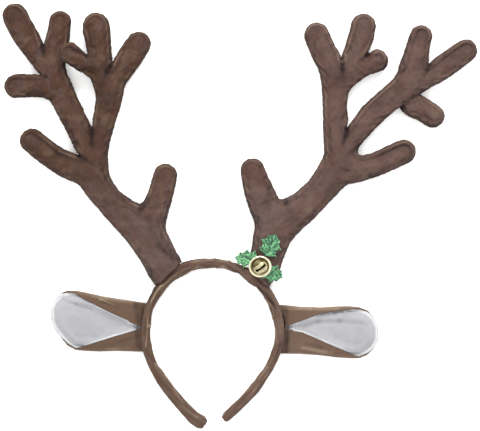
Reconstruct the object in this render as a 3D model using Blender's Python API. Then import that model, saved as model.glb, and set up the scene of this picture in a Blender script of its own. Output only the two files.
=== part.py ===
# Reindeer antler headband lying on its back
#
# A plush-covered hoop with two stuffed antlers, two folded ears, three holly leaves and a round
# bell. The hoop lies flat, its front facing +Z, the antlers point to +Y and the wearer's left
# side is at +X. The floor is z = 0 and the origin is under the middle of the whole piece.

import math

import bpy
import bmesh
import numpy as np
from mathutils import Matrix, Vector
from mathutils.geometry import delaunay_2d_cdt

# Hoop
HOOP_HALF_WIDTH = 0.0585     # from the middle of the hoop to the middle of either side
HOOP_LENGTH = 0.1390         # from the crown to the free ends
CROWN_HEIGHT = 0.0590        # from the widest place up to the crown
BAND_THICKNESS = 0.0090      # across the padded band, seen from the front
BAND_DEPTH = 0.0150          # front to back
BAND_SQUARENESS = 2.6        # 2 is an ellipse, more is boxier
SEAM_HEIGHT = 0.0007         # ridge where the sleeve of the band is closed
GAP = 0.0004                 # room between pieces that are sewn together
FACET = 0.0090               # usual length of a facet along the soft pieces

# Antlers
LEFT_REACH = 0.1496          # root to the outermost tine tip
LEFT_RISE = 0.2367           # root to the topmost tine tip
LEFT_ROOT_ANGLE = 125.3      # place of its root on the hoop, in degrees from +X
LEFT_ROOT_OUT = 0.0013       # from the band's middle outwards to the root
RIGHT_REACH = 0.1892
RIGHT_RISE = 0.2314
RIGHT_ROOT_ANGLE = 47.8
RIGHT_ROOT_OUT = 0.0060
TINE_RADIUS = 0.0105         # half the width of an ordinary tine
FULLNESS = 0.66              # stuffing height as a share of the half width
MOST_THICK = 0.0098          # the widest places get no thicker than this on either side
SEAM_LEVEL = 0.0086          # height of the seam between the front and back panels
FORK_BLEND = 0.0018          # rounding of the forks between two limbs
TINE_LIFT = 0.0110           # how far the small crossing tine stands off the one behind it
BASE_LAP = 0.35              # share of the band's half thickness left clear of the antler's lap

# Ears
EAR_THICKNESS = 0.0013
LINING_THICKNESS = 0.0010
LEFT_EAR_LENGTH = 0.0792
LEFT_EAR_HALF_WIDTH = 0.0256
LEFT_EAR_ROOT = 0.0026       # height of its middle on the hoop
RIGHT_EAR_LENGTH = 0.0826
RIGHT_EAR_HALF_WIDTH = 0.0227
RIGHT_EAR_ROOT = 0.0000
EAR_FOLD_RADIUS = 0.0034     # bend of the side edges, at the root
EAR_REST = 0.0016            # height of the ear's back above the floor, at the root

# Holly
LEAF_LENGTH = 0.0208
LEAF_HALF_WIDTH = 0.0075
LEAF_THICKNESS = 0.0014
LEAF_CREASE = 0.0007         # depth of the fold along the midrib

# Bell
BELL_RIM = 0.0097            # radius of the rolled rim
BELL_DOME = 0.0081           # radius of the slotted dome
BELL_BOWL = 0.0088           # radius of the back bowl
BELL_WALL = 0.0006
BELL_TILT = 8.0              # degrees, the slotted side looks a little towards -Y
BELL_SHANK = 0.0034          # stub that the bell is sewn on by
BELL_FROM_ROOT = (-0.0021, 0.0085)   # from the root of the right antler
BELL_SEAM = 0.00025          # gap of the crimped seam
SLOT_WIDTH = 0.0013
SLOT_LENGTH = 0.0078
SLOT_HOLE = 0.0015
SLOT_ANGLE = 34.0
PEA_RADIUS = 0.0026

# Path of the band from its free end on the left, over the crown, to the other end
# side share of the half width, drop below the crown as a share of the length, thickness share,
# turn of the sleeve's seam round the band in degrees (0 is outwards, 90 is the front)
BAND_ROWS = [
    (-0.145, 1.022, 0.95, 150),
    (-0.190, 1.008, 1.32, 155),
    (-0.300, 0.975, 1.32, 165),
    (-0.430, 0.920, 1.10, 170),
    (-0.545, 0.865, 1.04, 165),
    (-0.780, 0.728, 1.04, 155),
    (-0.885, 0.652, 0.92, 150),
    (-0.960, 0.570, 0.91, 150),
    (-1.005, 0.487, 0.94, 150),
    (-1.005, 0.386, 0.91, 150),
    (-0.962, 0.297, 0.93, 145),
    (-0.902, 0.228, 1.00, 140),
    (-0.665, 0.089, 1.04, 130),
    (-0.480, 0.035, 1.02, 110),
    (-0.315, 0.016, 1.02, 85),
    (-0.150, 0.005, 0.97, 70),
    (0.015, 0.001, 0.90, 60),
    (0.225, 0.014, 0.92, 85),
    (0.415, 0.043, 1.00, 115),
    (0.575, 0.083, 1.16, 130),
    (0.708, 0.131, 1.12, 135),
    (0.827, 0.193, 0.93, 140),
    (0.910, 0.272, 0.98, 150),
    (0.985, 0.350, 0.92, 160),
    (1.000, 0.424, 0.86, 160),
    (0.970, 0.519, 0.84, 155),
    (0.910, 0.592, 0.86, 150),
    (0.835, 0.661, 0.90, 150),
    (0.617, 0.794, 0.98, 145),
    (0.490, 0.852, 0.98, 140),
    (0.346, 0.915, 0.90, 140),
    (0.215, 0.972, 0.84, 140),
    (0.178, 0.988, 0.60, 140),
]

# Limbs of the antlers: outward share of the reach, upward share of the rise, width share of an
# ordinary tine, and lift share
LEFT_LIMBS = {
    "stem": [
        (0.000, -0.045, 1.30, 0), (0.050, 0.022, 1.46, 0), (0.090, 0.072, 1.47, 0),
        (0.135, 0.118, 1.52, 0), (0.182, 0.158, 1.53, 0), (0.240, 0.195, 1.42, 0),
        (0.294, 0.222, 1.28, 0), (0.371, 0.268, 1.14, 0), (0.435, 0.321, 1.22, 0),
        (0.471, 0.372, 1.31, 0), (0.476, 0.428, 1.30, 0), (0.476, 0.472, 1.17, 0)],
    "brow": [
        (0.150, 0.165, 1.26, 0), (0.110, 0.224, 1.13, 0), (0.080, 0.268, 1.05, 0),
        (0.059, 0.309, 1.01, 0), (0.041, 0.360, 0.97, 0)],
    "low": [
        (0.471, 0.380, 1.17, 0), (0.576, 0.388, 1.12, 0), (0.682, 0.421, 1.02, 0),
        (0.759, 0.456, 1.01, 0), (0.826, 0.491, 0.99, 0)],
    "inner": [
        (0.482, 0.468, 1.13, 0), (0.529, 0.520, 1.11, 0), (0.600, 0.599, 1.02, 0),
        (0.647, 0.658, 1.06, 0), (0.688, 0.706, 1.09, 0), (0.724, 0.766, 1.05, 0)],
    "inner_far": [
        (0.718, 0.766, 1.01, 0), (0.812, 0.833, 0.97, 0), (0.882, 0.900, 1.04, 0),
        (0.926, 0.955, 1.02, 0)],
    "inner_up": [
        (0.712, 0.773, 1.01, 0), (0.682, 0.840, 0.97, 0), (0.659, 0.931, 0.90, 0)],
    "inner_side": [
        (0.682, 0.691, 1.05, 0), (0.776, 0.695, 0.97, 0), (0.847, 0.695, 0.97, 0),
        (0.918, 0.693, 0.98, 0)],
    "outer": [
        (0.465, 0.468, 1.13, 0), (0.429, 0.524, 1.06, 0), (0.394, 0.584, 0.95, 0),
        (0.371, 0.658, 1.06, 0), (0.376, 0.706, 1.05, 0)],
    "outer_up": [
        (0.388, 0.714, 1.05, 0), (0.433, 0.781, 1.09, 0), (0.438, 0.840, 1.10, 0),
        (0.447, 0.916, 1.11, 0)],
    "outer_far": [
        (0.371, 0.699, 1.05, 0), (0.312, 0.747, 1.02, 0), (0.253, 0.799, 1.05, 0),
        (0.197, 0.851, 1.00, 0)],
}
LEFT_CROSSING = {
    "small": [
        (0.400, 0.725, 0.80, 0.00), (0.447, 0.757, 0.90, 0.30), (0.506, 0.781, 0.85, 0.65),
        (0.588, 0.810, 0.88, 1.00)],
}
RIGHT_LIMBS = {
    "stem": [
        (-0.019, -0.061, 1.01, 0), (0.000, 0.000, 1.24, 0), (0.019, 0.068, 1.33, 0),
        (0.037, 0.122, 1.43, 0), (0.060, 0.175, 1.53, 0), (0.116, 0.221, 1.50, 0),
        (0.195, 0.266, 1.31, 0), (0.270, 0.327, 1.22, 0), (0.330, 0.388, 1.31, 0),
        (0.363, 0.437, 1.34, 0), (0.367, 0.487, 1.26, 0)],
    "brow": [
        (0.050, 0.215, 1.30, 0), (0.004, 0.281, 1.22, 0), (-0.022, 0.338, 1.13, 0),
        (-0.044, 0.403, 0.99, 0)],
    "low": [
        (0.367, 0.411, 1.22, 0), (0.442, 0.409, 1.07, 0), (0.516, 0.422, 0.99, 0),
        (0.600, 0.452, 1.01, 0), (0.658, 0.473, 1.01, 0)],
    "far": [
        (0.381, 0.506, 1.13, 0), (0.442, 0.559, 1.07, 0), (0.507, 0.612, 1.01, 0),
        (0.586, 0.669, 1.04, 0), (0.651, 0.711, 1.09, 0), (0.688, 0.741, 1.11, 0)],
    "far_up": [
        (0.693, 0.738, 1.09, 0), (0.710, 0.814, 1.04, 0), (0.728, 0.878, 0.95, 0),
        (0.740, 0.914, 0.91, 0)],
    "far_out": [
        (0.702, 0.738, 1.05, 0), (0.777, 0.768, 1.01, 0), (0.851, 0.802, 0.98, 0),
        (0.949, 0.859, 0.95, 0)],
    "near": [
        (0.363, 0.487, 1.13, 0), (0.349, 0.551, 1.12, 0), (0.340, 0.608, 1.00, 0),
        (0.340, 0.681, 1.02, 0), (0.344, 0.745, 1.07, 0)],
    "near_up": [
        (0.344, 0.745, 1.05, 0), (0.321, 0.802, 1.07, 0), (0.284, 0.859, 1.06, 0),
        (0.253, 0.919, 1.02, 0)],
    "near_tall": [
        (0.377, 0.760, 1.01, 0), (0.419, 0.798, 1.11, 0), (0.442, 0.844, 1.13, 0),
        (0.460, 0.905, 1.06, 0), (0.472, 0.953, 1.00, 0)],
    "near_side": [
        (0.372, 0.753, 0.92, 0), (0.447, 0.795, 0.94, 0), (0.535, 0.821, 0.92, 0)],
}
RIGHT_CROSSING = {
    "small": [
        (0.640, 0.715, 0.80, -0.25), (0.693, 0.662, 0.98, -0.28), (0.744, 0.639, 0.96, -0.28),
        (0.800, 0.610, 0.93, -0.28)],
}

# Ears from root to tip: along share, upper edge, lower edge, upper and lower edge of the
# opening (shares of the half width), bend of the side edges in degrees, bend radius share,
# height share of the resting height
LEFT_EAR_ROWS = [
    (0.000, 0.80, -0.83, 0.02, -0.03, 180, 1.00, 1.0),
    (0.060, 0.84, -0.83, 0.10, -0.08, 178, 1.02, 1.0),
    (0.155, 0.89, -0.82, 0.22, -0.16, 176, 1.05, 0.9),
    (0.300, 0.96, -0.81, 0.40, -0.27, 172, 1.05, 0.8),
    (0.465, 1.05, -0.83, 0.63, -0.43, 168, 1.00, 0.7),
    (0.630, 1.17, -0.81, 0.90, -0.61, 160, 0.85, 0.6),
    (0.735, 1.23, -0.78, 1.07, -0.72, 120, 0.70, 0.5),
    (0.820, 1.23, -0.63, 1.17, -0.57, 70, 0.62, 0.5),
    (0.895, 1.15, -0.36, 1.11, -0.32, 45, 0.60, 0.5),
    (0.960, 0.93, -0.10, 0.90, -0.07, 35, 0.60, 0.5),
    (1.000, 0.66, 0.22, 0.64, 0.24, 30, 0.55, 0.5),
]
RIGHT_EAR_ROWS = [
    (0.000, 0.95, -0.90, 0.06, -0.01, 180, 1.00, 1.0),
    (0.080, 0.93, -0.90, 0.15, -0.06, 178, 1.02, 1.0),
    (0.190, 0.88, -0.91, 0.29, -0.12, 176, 1.05, 0.9),
    (0.400, 0.85, -0.97, 0.58, -0.43, 170, 1.05, 0.8),
    (0.560, 0.89, -1.05, 0.70, -0.68, 165, 0.95, 0.7),
    (0.700, 0.90, -1.09, 0.74, -0.85, 150, 0.80, 0.6),
    (0.800, 0.85, -1.09, 0.76, -0.97, 110, 0.68, 0.5),
    (0.885, 0.74, -0.96, 0.70, -0.92, 65, 0.62, 0.5),
    (0.950, 0.50, -0.75, 0.47, -0.72, 40, 0.60, 0.5),
    (1.000, 0.12, -0.38, 0.10, -0.36, 30, 0.55, 0.5),
]

# Half of a holly leaf: along share of the length, share of the half width
LEAF_EDGE = [
    (0.05, 0.34), (0.16, 0.88), (0.22, 0.70), (0.34, 0.62), (0.43, 0.74), (0.52, 1.00),
    (0.56, 0.78), (0.66, 0.56), (0.80, 0.62), (0.83, 0.40), (0.90, 0.17),
]
# Leaves: name, direction of the tip, place of the root from the bell's middle (to +X and +Y),
# droop at the tip, length share, width share
LEAVES = [
    ("holly_leaf_top", 63.0, 0.0067, 0.0092, 0.0000, 1.02, 1.08),
    ("holly_leaf_left", 172.0, -0.0028, 0.0050, 0.0022, 0.96, 0.98),
    ("holly_leaf_right", -24.0, 0.0026, -0.0038, 0.0012, 0.94, 1.00),
]


def make_material(name, colour, roughness, metallic=0.0):
    mat = bpy.data.materials.new(name)
    mat.use_nodes = True
    shader = mat.node_tree.nodes["Principled BSDF"]
    shader.inputs["Base Color"].default_value = (*colour, 1.0)
    shader.inputs["Roughness"].default_value = roughness
    shader.inputs["Metallic"].default_value = metallic
    mat.diffuse_color = (*colour, 1.0)
    return mat


def add_object(name, bm, mat, smooth_angle=50.0):
    # Closed mesh with its faces out, shaded smooth but for real edges
    bmesh.ops.recalc_face_normals(bm, faces=bm.faces[:])
    bmesh.ops.triangulate(bm, faces=bm.faces[:])
    if bm.calc_volume(signed=True) < 0:
        bmesh.ops.reverse_faces(bm, faces=bm.faces[:])
    mesh = bpy.data.meshes.new(name)
    bm.to_mesh(mesh)
    bm.free()
    mesh.materials.append(mat)
    mesh.shade_smooth()
    mesh.set_sharp_from_angle(angle=math.radians(smooth_angle))
    obj = bpy.data.objects.new(name, mesh)
    bpy.context.scene.collection.objects.link(obj)
    return obj


def smooth_rows(rows, step, scales):
    # A round curve through the rows, with points about one step apart
    pts = np.array(rows, float) * np.array(scales, float)
    last = len(pts) - 1
    out = []
    for i in range(last):
        a, b, c, d = pts[max(i - 1, 0)], pts[i], pts[i + 1], pts[min(i + 2, last)]
        count = max(1, int(round(np.hypot(*(c - b)[:2]) / step)))
        for t in np.arange(count) / count:
            out.append(0.5 * (2 * b + (c - a) * t + (2 * a - 5 * b + 4 * c - d) * t * t
                              + (3 * b - a - 3 * c + d) * t ** 3))
    out.append(pts[-1])
    return np.array(out)


# Hoop path in its own frame, the origin level with its widest place
def hoop_path(step):
    rows = smooth_rows(BAND_ROWS, step, (HOOP_HALF_WIDTH, -HOOP_LENGTH, BAND_THICKNESS, 1.0))
    rows[:, 1] += CROWN_HEIGHT
    return rows


HOOP = hoop_path(0.2 * FACET)
UPPER = HOOP[HOOP[:, 1] > -0.5 * CROWN_HEIGHT]
UPPER_ANGLES = np.arctan2(UPPER[:, 1], UPPER[:, 0])
ORDER = np.argsort(UPPER_ANGLES)


def band_radius(angle):
    return np.interp(angle, UPPER_ANGLES[ORDER], np.hypot(UPPER[:, 0], UPPER[:, 1])[ORDER])


def band_at(angle):
    # Distance of the band's middle from the hoop's origin, and its thickness measured straight
    # outwards from there, at an angle
    radius = band_radius(angle)
    slant = (band_radius(angle + 0.04) - band_radius(angle - 0.04)) / 0.08 / radius
    thick = np.interp(angle, UPPER_ANGLES[ORDER], UPPER[:, 2][ORDER])
    return radius, thick * np.sqrt(1 + slant ** 2)


def place_on_hoop(degrees, outwards):
    angle = math.radians(degrees)
    radius = float(band_radius(angle)) + outwards
    return np.array([radius * math.cos(angle), radius * math.sin(angle)])


LEFT_ROOT = place_on_hoop(LEFT_ROOT_ANGLE, LEFT_ROOT_OUT)
RIGHT_ROOT = place_on_hoop(RIGHT_ROOT_ANGLE, RIGHT_ROOT_OUT)
BELL_PLACE = RIGHT_ROOT + np.array(BELL_FROM_ROOT)


def band_edge_x(y, side):
    # Outer edge of the band at height y on one side
    half = HOOP[HOOP[:, 0] * side > 0.77 * HOOP_HALF_WIDTH]
    order = np.argsort(half[:, 1])
    x = np.interp(y, half[order, 1], half[order, 0] * side)
    return x + np.interp(y, half[order, 1], half[order, 2]) / 2


def make_band(mat):
    rows = hoop_path(0.95 * FACET)
    points = 14
    bm = bmesh.new()
    rings = []
    for i, (x, y, thick, seam) in enumerate(rows):
        before, after = rows[max(i - 1, 0)], rows[min(i + 1, len(rows) - 1)]
        along = Vector((after[0] - before[0], after[1] - before[1], 0)).normalized()
        out = Vector((-along.y, along.x, 0))
        # soft gathers of the padded sleeve, deeper near the free ends
        gather = 0.97 + 0.018 * math.sin(i * 2.3) + 0.012 * math.sin(i * 1.1 + 1.7)
        ring = []
        for k in range(points):
            turn = math.radians(seam) + 2 * math.pi * k / points
            c, s = math.cos(turn), math.sin(turn)
            reach = (abs(c) ** BAND_SQUARENESS + abs(s) ** BAND_SQUARENESS) ** (-1 / BAND_SQUARENESS)
            u = c * reach * thick * gather / 2
            v = s * reach * BAND_DEPTH / 2 * min(1.0, 0.35 + 0.65 * thick / (0.8 * BAND_THICKNESS))
            if k == 0:
                u += c * SEAM_HEIGHT
                v += s * SEAM_HEIGHT
            elif k in (1, points - 1):
                u -= c * SEAM_HEIGHT * 0.5
                v -= s * SEAM_HEIGHT * 0.5
            v = max(-BAND_DEPTH / 2, min(BAND_DEPTH / 2, v))
            ring.append(bm.verts.new(Vector((x, y, BAND_DEPTH / 2 + v)) + out * u))
        rings.append(ring)
    for a, b in zip(rings[:-1], rings[1:]):
        for k in range(points):
            bm.faces.new((a[k], a[(k + 1) % points], b[(k + 1) % points], b[k]))
    for ring in (rings[0], rings[-1]):
        middle = sum((v.co for v in ring), Vector()) / points
        centre = bm.verts.new(middle)
        for k in range(points):
            bm.faces.new((ring[k], ring[(k + 1) % points], centre))
    return add_object("band", bm, mat)


# Antlers: each limb is a row of circles of changing width, the limbs flow together at the forks,
# and the stuffing height follows from how far inside the outline a point lies
def limb_pieces(rows, root, outward, reach, rise):
    pts = smooth_rows(rows, FACET / 3, (reach * outward, rise, TINE_RADIUS, TINE_LIFT))
    pts[:, 0] += root[0]
    pts[:, 1] += root[1]
    return pts


def limb_distance(pts, limb):
    a, b = limb[:-1], limb[1:]
    step = (b - a)[:, :2]
    rel = pts[:, None, :] - a[None, :, :2]
    t = np.clip((rel * step).sum(2) / np.maximum((step ** 2).sum(1), 1e-12), 0, 1)
    gap = np.hypot(*np.moveaxis(rel - t[:, :, None] * step, 2, 0))
    size = a[:, 2] + t * (b - a)[:, 2]
    best = np.argmin(gap - size, axis=1)
    pick = np.arange(len(pts)), best
    lift = (a[:, 3] + t * (b - a)[:, 3])[pick]
    return (gap - size)[pick], size[pick], lift


def limbs_field(pts, limbs):
    # Signed distance to the sewn outline, local half width and lift
    parts = [limb_distance(pts, limb) for limb in limbs]
    gap = np.array([p[0] for p in parts])
    low = gap.min(0)
    near = np.exp(-(gap - low) / FORK_BLEND)
    field = low - FORK_BLEND * np.log(near.sum(0))
    soft = np.exp(-(gap - low) / (2.0 * FORK_BLEND))
    soft /= soft.sum(0)
    size = (soft * np.array([p[1] for p in parts])).sum(0)
    lift = (soft * np.array([p[2] for p in parts])).sum(0)
    return field, size, lift


def stuffing(pts, limbs):
    # Level of the seam plane and half thickness at each point
    field, size, lift = limbs_field(pts, limbs)
    inside = np.clip(-field / size, 0, 1)
    full = np.minimum(FULLNESS * size, MOST_THICK)
    return SEAM_LEVEL + lift, full * (1 - (1 - inside) ** 2) ** 0.58


def front_level(x, y, limbs):
    # Height of the stuffed front above the floor
    level, half = stuffing(np.array([(x, y)]), limbs)
    return float(level[0] + half[0])


def trace_outline(limbs, level, step):
    # Closed line where the field has the given level, walked over a square grid
    every = np.vstack(limbs)
    low = every[:, :2].min(0) - 2 * TINE_RADIUS
    high = every[:, :2].max(0) + 2 * TINE_RADIUS
    nx, ny = (np.ceil((high - low) / step)).astype(int) + 1
    gx, gy = np.meshgrid(low[0] + step * np.arange(nx), low[1] + step * np.arange(ny), indexing="ij")
    value = limbs_field(np.stack([gx.ravel(), gy.ravel()], 1), limbs)[0].reshape(nx, ny) - level
    links = {}
    where = {}
    for i in range(nx - 1):
        for j in range(ny - 1):
            corners = ((i, j), (i + 1, j), (i + 1, j + 1), (i, j + 1))
            signs = [value[c] < 0 for c in corners]
            if all(signs) or not any(signs):
                continue
            cross = []
            for k in range(4):
                a, b = corners[k], corners[(k + 1) % 4]
                if signs[k] != signs[(k + 1) % 4]:
                    key = (min(a, b), max(a, b))
                    t = value[key[0]] / (value[key[0]] - value[key[1]])
                    where[key] = (np.array([gx[key[0]], gy[key[0]]]) * (1 - t)
                                  + np.array([gx[key[1]], gy[key[1]]]) * t)
                    cross.append(key)
            for a, b in ((0, 1), (2, 3)) if len(cross) == 4 else ((0, 1),):
                links.setdefault(cross[a], []).append(cross[b])
                links.setdefault(cross[b], []).append(cross[a])
    loops = []
    left = dict(links)
    while left:
        start = next(iter(left))
        loop, here, last = [start], start, None
        while True:
            ways = left.pop(here)
            ahead = [w for w in ways if w != last and w in left] or [w for w in ways if w in left]
            if not ahead:
                break
            last, here = here, ahead[0]
            loop.append(here)
        loops.append(np.array([where[k] for k in loop]))
    result = []
    for loop in loops:
        if len(loop) < 8:
            continue
        for _ in range(3):
            h = 0.001 * TINE_RADIUS
            f = limbs_field(loop, limbs)[0] - level
            dx = (limbs_field(loop + (h, 0), limbs)[0] - level - f) / h
            dy = (limbs_field(loop + (0, h), limbs)[0] - level - f) / h
            size = np.maximum(dx * dx + dy * dy, 0.05)
            loop = loop - np.stack([f * dx / size, f * dy / size], 1)
        ahead = np.roll(loop, -1, 0)
        if (loop[:, 0] * ahead[:, 1] - ahead[:, 0] * loop[:, 1]).sum() < 0:
            loop = loop[::-1]
        result.append(loop)
    return result


def thin_line(line, tolerance, longest, closed=True):
    # Fewer points: each chord stays close to the line and no longer than the limit
    pts = np.vstack([line, line[:1]]) if closed else line
    keep = [0]
    i = 0
    while i < len(pts) - 1:
        best = i + 1
        for j in range(i + 2, len(pts)):
            chord = pts[j] - pts[i]
            size = np.hypot(*chord)
            if size > longest:
                break
            mid = pts[i + 1:j] - pts[i]
            off = np.abs(mid[:, 0] * chord[1] - mid[:, 1] * chord[0]) / max(size, 1e-9)
            if off.max() > tolerance:
                break
            best = j
        keep.append(best)
        i = best
    return pts[keep[:-1]] if closed else pts[keep]


def base_cut(pts):
    # Positive where a point lies inside the band's outer edge
    radius, thick = band_at(np.arctan2(pts[:, 1], pts[:, 0]))
    return radius + thick / 2 + GAP - np.hypot(pts[:, 0], pts[:, 1])


def seated(point, z):
    # The point of the antler's foot on the band at height z, following the band's round section
    angle = math.atan2(point[1], point[0])
    radius, thick = band_at(angle)
    half = thick / 2 + GAP
    v = min(1.0, abs(z - BAND_DEPTH / 2) / (BAND_DEPTH / 2 + GAP))
    reach = half * max((1 - v ** BAND_SQUARENESS) ** (1 / BAND_SQUARENESS), BASE_LAP)
    return Vector((math.cos(angle) * (radius + reach), math.sin(angle) * (radius + reach), z))


def foot_line(outline):
    # Cuts the outline along the band and returns it with the points of the foot at its end
    inside = base_cut(outline) > 0
    first = next(i for i in range(len(outline)) if inside[i - 1] and not inside[i])
    outline = np.roll(outline, -first, 0)
    count = int((~inside).sum())
    kept = outline[:count]

    def crossing(a, b):
        for _ in range(40):
            m = (a + b) / 2
            a, b = (m, b) if base_cut(m[None])[0] < 0 else (a, m)
        return a

    start = crossing(kept[0], outline[-1])
    end = crossing(kept[-1], outline[count % len(outline)])
    a0, a1 = math.atan2(end[1], end[0]), math.atan2(start[1], start[0])
    count = 11
    foot = []
    # closer together near the corners, where the panels swell quickest
    for t in 0.5 - 0.5 * np.cos(np.pi * np.arange(1, count) / count):
        angle = a0 + (a1 - a0) * t
        radius, thick = band_at(angle)
        reach = radius + thick / 2 + GAP
        foot.append((reach * math.cos(angle), reach * math.sin(angle)))
    return np.vstack([start[None], kept[1:-1], end[None]]), np.array(foot)


def stuffed_shape(limbs, on_band):
    # Front and back panels sewn along the outline; the foot on the band stays open-cut and full
    step = 0.15 * TINE_RADIUS
    fine, rough = 0.022 * FACET, 0.05 * FACET
    outline = max(trace_outline(limbs, 0.0, step), key=len)
    foot = np.zeros((0, 2))
    if on_band:
        outline, foot = foot_line(outline)
        outline = thin_line(outline, fine, 1.15 * FACET, closed=False)
    else:
        outline = thin_line(outline, fine, 1.15 * FACET)
    pts = [tuple(p) for p in outline] + [tuple(p) for p in foot]
    seam_count, rim_count = len(outline), len(pts)
    inner = []
    for share in (0.12, 0.36, 0.67):
        for loop in trace_outline(limbs, -share * TINE_RADIUS, step):
            inner.extend(thin_line(loop, rough, 1.18 * FACET))
    for limb in limbs:
        walked = np.hypot(*np.diff(limb[:, :2], axis=0).T).cumsum()
        for target in np.arange(FACET / 3, walked[-1], FACET):
            inner.append(limb[1 + int(np.searchsorted(walked, target)), :2])
    inner = np.array(inner)
    keep = limbs_field(inner, limbs)[0] < -0.1 * FACET
    if on_band:
        keep &= base_cut(inner) < -0.2 * FACET
    inner = inner[keep]
    # drop points that crowd one another where limbs join
    chosen = []
    for p in inner:
        if all(math.hypot(p[0] - q[0], p[1] - q[1]) > 0.23 * FACET for q in chosen):
            chosen.append(p)
    pts += [tuple(p) for p in chosen]
    edges = [(i, (i + 1) % rim_count) for i in range(rim_count)]
    flat, _, faces, origin, _, _ = delaunay_2d_cdt(
        [Vector((x * 1000, y * 1000)) for x, y in pts], edges, [], 1, 1e-4)
    flat = np.array([(v.x / 1000, v.y / 1000) for v in flat])
    level, half = stuffing(flat, limbs)
    bm = bmesh.new()
    front, back = [], []
    foot_at = {}
    for i, (x, y) in enumerate(flat):
        source = origin[i][0] if len(origin[i]) else rim_count
        if source < seam_count:
            vert = bm.verts.new((x, y, level[i]))
            front.append(vert)
            back.append(vert)
            if on_band and source in (0, seam_count - 1):
                foot_at[source] = i
            continue
        top, low = level[i] + half[i], max(level[i] - half[i], 0.0)
        if source < rim_count:
            foot_at[source] = i
            front.append(bm.verts.new(seated((x, y), top)))
            back.append(bm.verts.new(seated((x, y), low)))
        else:
            front.append(bm.verts.new((x, y, top)))
            back.append(bm.verts.new((x, y, low)))
    for face in faces:
        bm.faces.new([front[i] for i in face])
        bm.faces.new([back[i] for i in reversed(face)])
    if on_band:
        # rows of the foot's wall, closer together round the band's front and back corners
        shares = (0.04, 0.10, 0.24, 0.56, 0.69, 0.77, 0.82, 0.86)
        rows = len(shares) + 1
        columns = []
        for source in [seam_count - 1] + list(range(seam_count, rim_count)) + [0]:
            i = foot_at[source]
            if front[i] is back[i]:
                columns.append([front[i]] * (rows + 1))
                continue
            top, low = front[i].co.z, back[i].co.z
            column = [back[i]]
            for share in shares:
                column.append(bm.verts.new(seated(flat[i], low + (top - low) * share)))
            columns.append(column + [front[i]])
        for a, b in zip(columns[:-1], columns[1:]):
            for k in range(rows):
                corners = []
                for vert in (a[k], b[k], b[k + 1], a[k + 1]):
                    if vert not in corners:
                        corners.append(vert)
                if len(corners) > 2:
                    bm.faces.new(corners)
    return bm


def make_antler(name, mat, limbs, crossing, root, outward, reach, rise):
    limbs = [limb_pieces(rows, root, outward, reach, rise) for rows in limbs.values()]
    crossing = [limb_pieces(rows, root, outward, reach, rise) for rows in crossing.values()]
    antler = add_object(name, stuffed_shape(limbs, True), mat)
    small = add_object(name + "_crossing_tine", stuffed_shape(crossing, False), mat)
    joint = antler.modifiers.new("crossing tine", "BOOLEAN")
    joint.operation = "UNION"
    joint.solver = "EXACT"
    joint.object = small
    small.hide_render = True
    small.display_type = "WIRE"
    return antler, small, limbs


# Ears
def ear_section(row, shift, thick, cover):
    # Points across the ear from one free edge to the other, as (across, height, bend place)
    _, upper, lower, open_up, open_low, bend, radius, rest = row
    middle, half = (upper + lower) / 2, (upper - lower) / 2
    sides = []
    for edge, opening in ((upper - middle, open_up - middle), (middle - lower, middle - open_low)):
        bend_angle = math.radians(bend)
        flap = max(edge - opening - (radius if bend >= 90 else 0), 0.7 * EAR_THICKNESS)
        if bend >= 90:
            flat = half - radius
        else:
            flat = half - radius * math.sin(bend_angle) - flap * math.cos(bend_angle)
        r = radius - shift
        last = min(bend_angle, math.radians(cover)) if cover else bend_angle
        side = [(flat * 0.5, 0.0), (flat, 0.0)]
        bends = 2 if cover else 4
        for k in range(1, bends + 1):
            a = last * k / bends
            side.append((flat + r * math.sin(a), r - r * math.cos(a)))
        u, z = side[-1]
        if cover and bend <= cover:
            tail = flap - GAP
            side.append((u + tail * math.cos(last), z + tail * math.sin(last)))
        elif not cover:
            for share in (0.5, 1.0):
                side.append((u + flap * share * math.cos(last), z + flap * share * math.sin(last)))
        elif cover:
            side.append((u + GAP / 2 * math.cos(last), z + GAP / 2 * math.sin(last)))
        sides.append(side)
    up = [(middle + u, z) for u, z in reversed(sides[0])]
    low = [(middle - u, z) for u, z in sides[1]]
    return [(u, z + rest + shift) for u, z in up + [(middle, 0.0)] + low]


def make_ear(name, mat, rows, side, length, half_width, root_y, shift, thick, cover):
    scales = (length, half_width, half_width, half_width, half_width, 1.0,
              EAR_FOLD_RADIUS, EAR_REST)
    stations = np.array(rows, float) * np.array(scales)
    bm = bmesh.new()
    grid = []
    for row in stations:
        share = row[0] / length
        line = []
        for u, z in ear_section(row, shift, thick, cover):
            y = root_y + u
            foot = band_edge_x(y, side) - band_edge_x(root_y, side)
            x = band_edge_x(root_y, side) + 2 * GAP + row[0] + foot * (1 - share) ** 3
            if cover:
                x = x + 1.5 * GAP * (1 - 2 * share)
            line.append(bm.verts.new((side * x, y, z + EAR_THICKNESS / 2)))
        grid.append(line)
    for a, b in zip(grid[:-1], grid[1:]):
        for k in range(len(a) - 1):
            bm.faces.new((a[k], a[k + 1], b[k + 1], b[k]))
    ear = add_object(name, bm, mat)
    cloth = ear.modifiers.new("cloth thickness", "SOLIDIFY")
    cloth.thickness = thick
    cloth.offset = 0.0
    cloth.use_even_offset = False
    return ear


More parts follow.
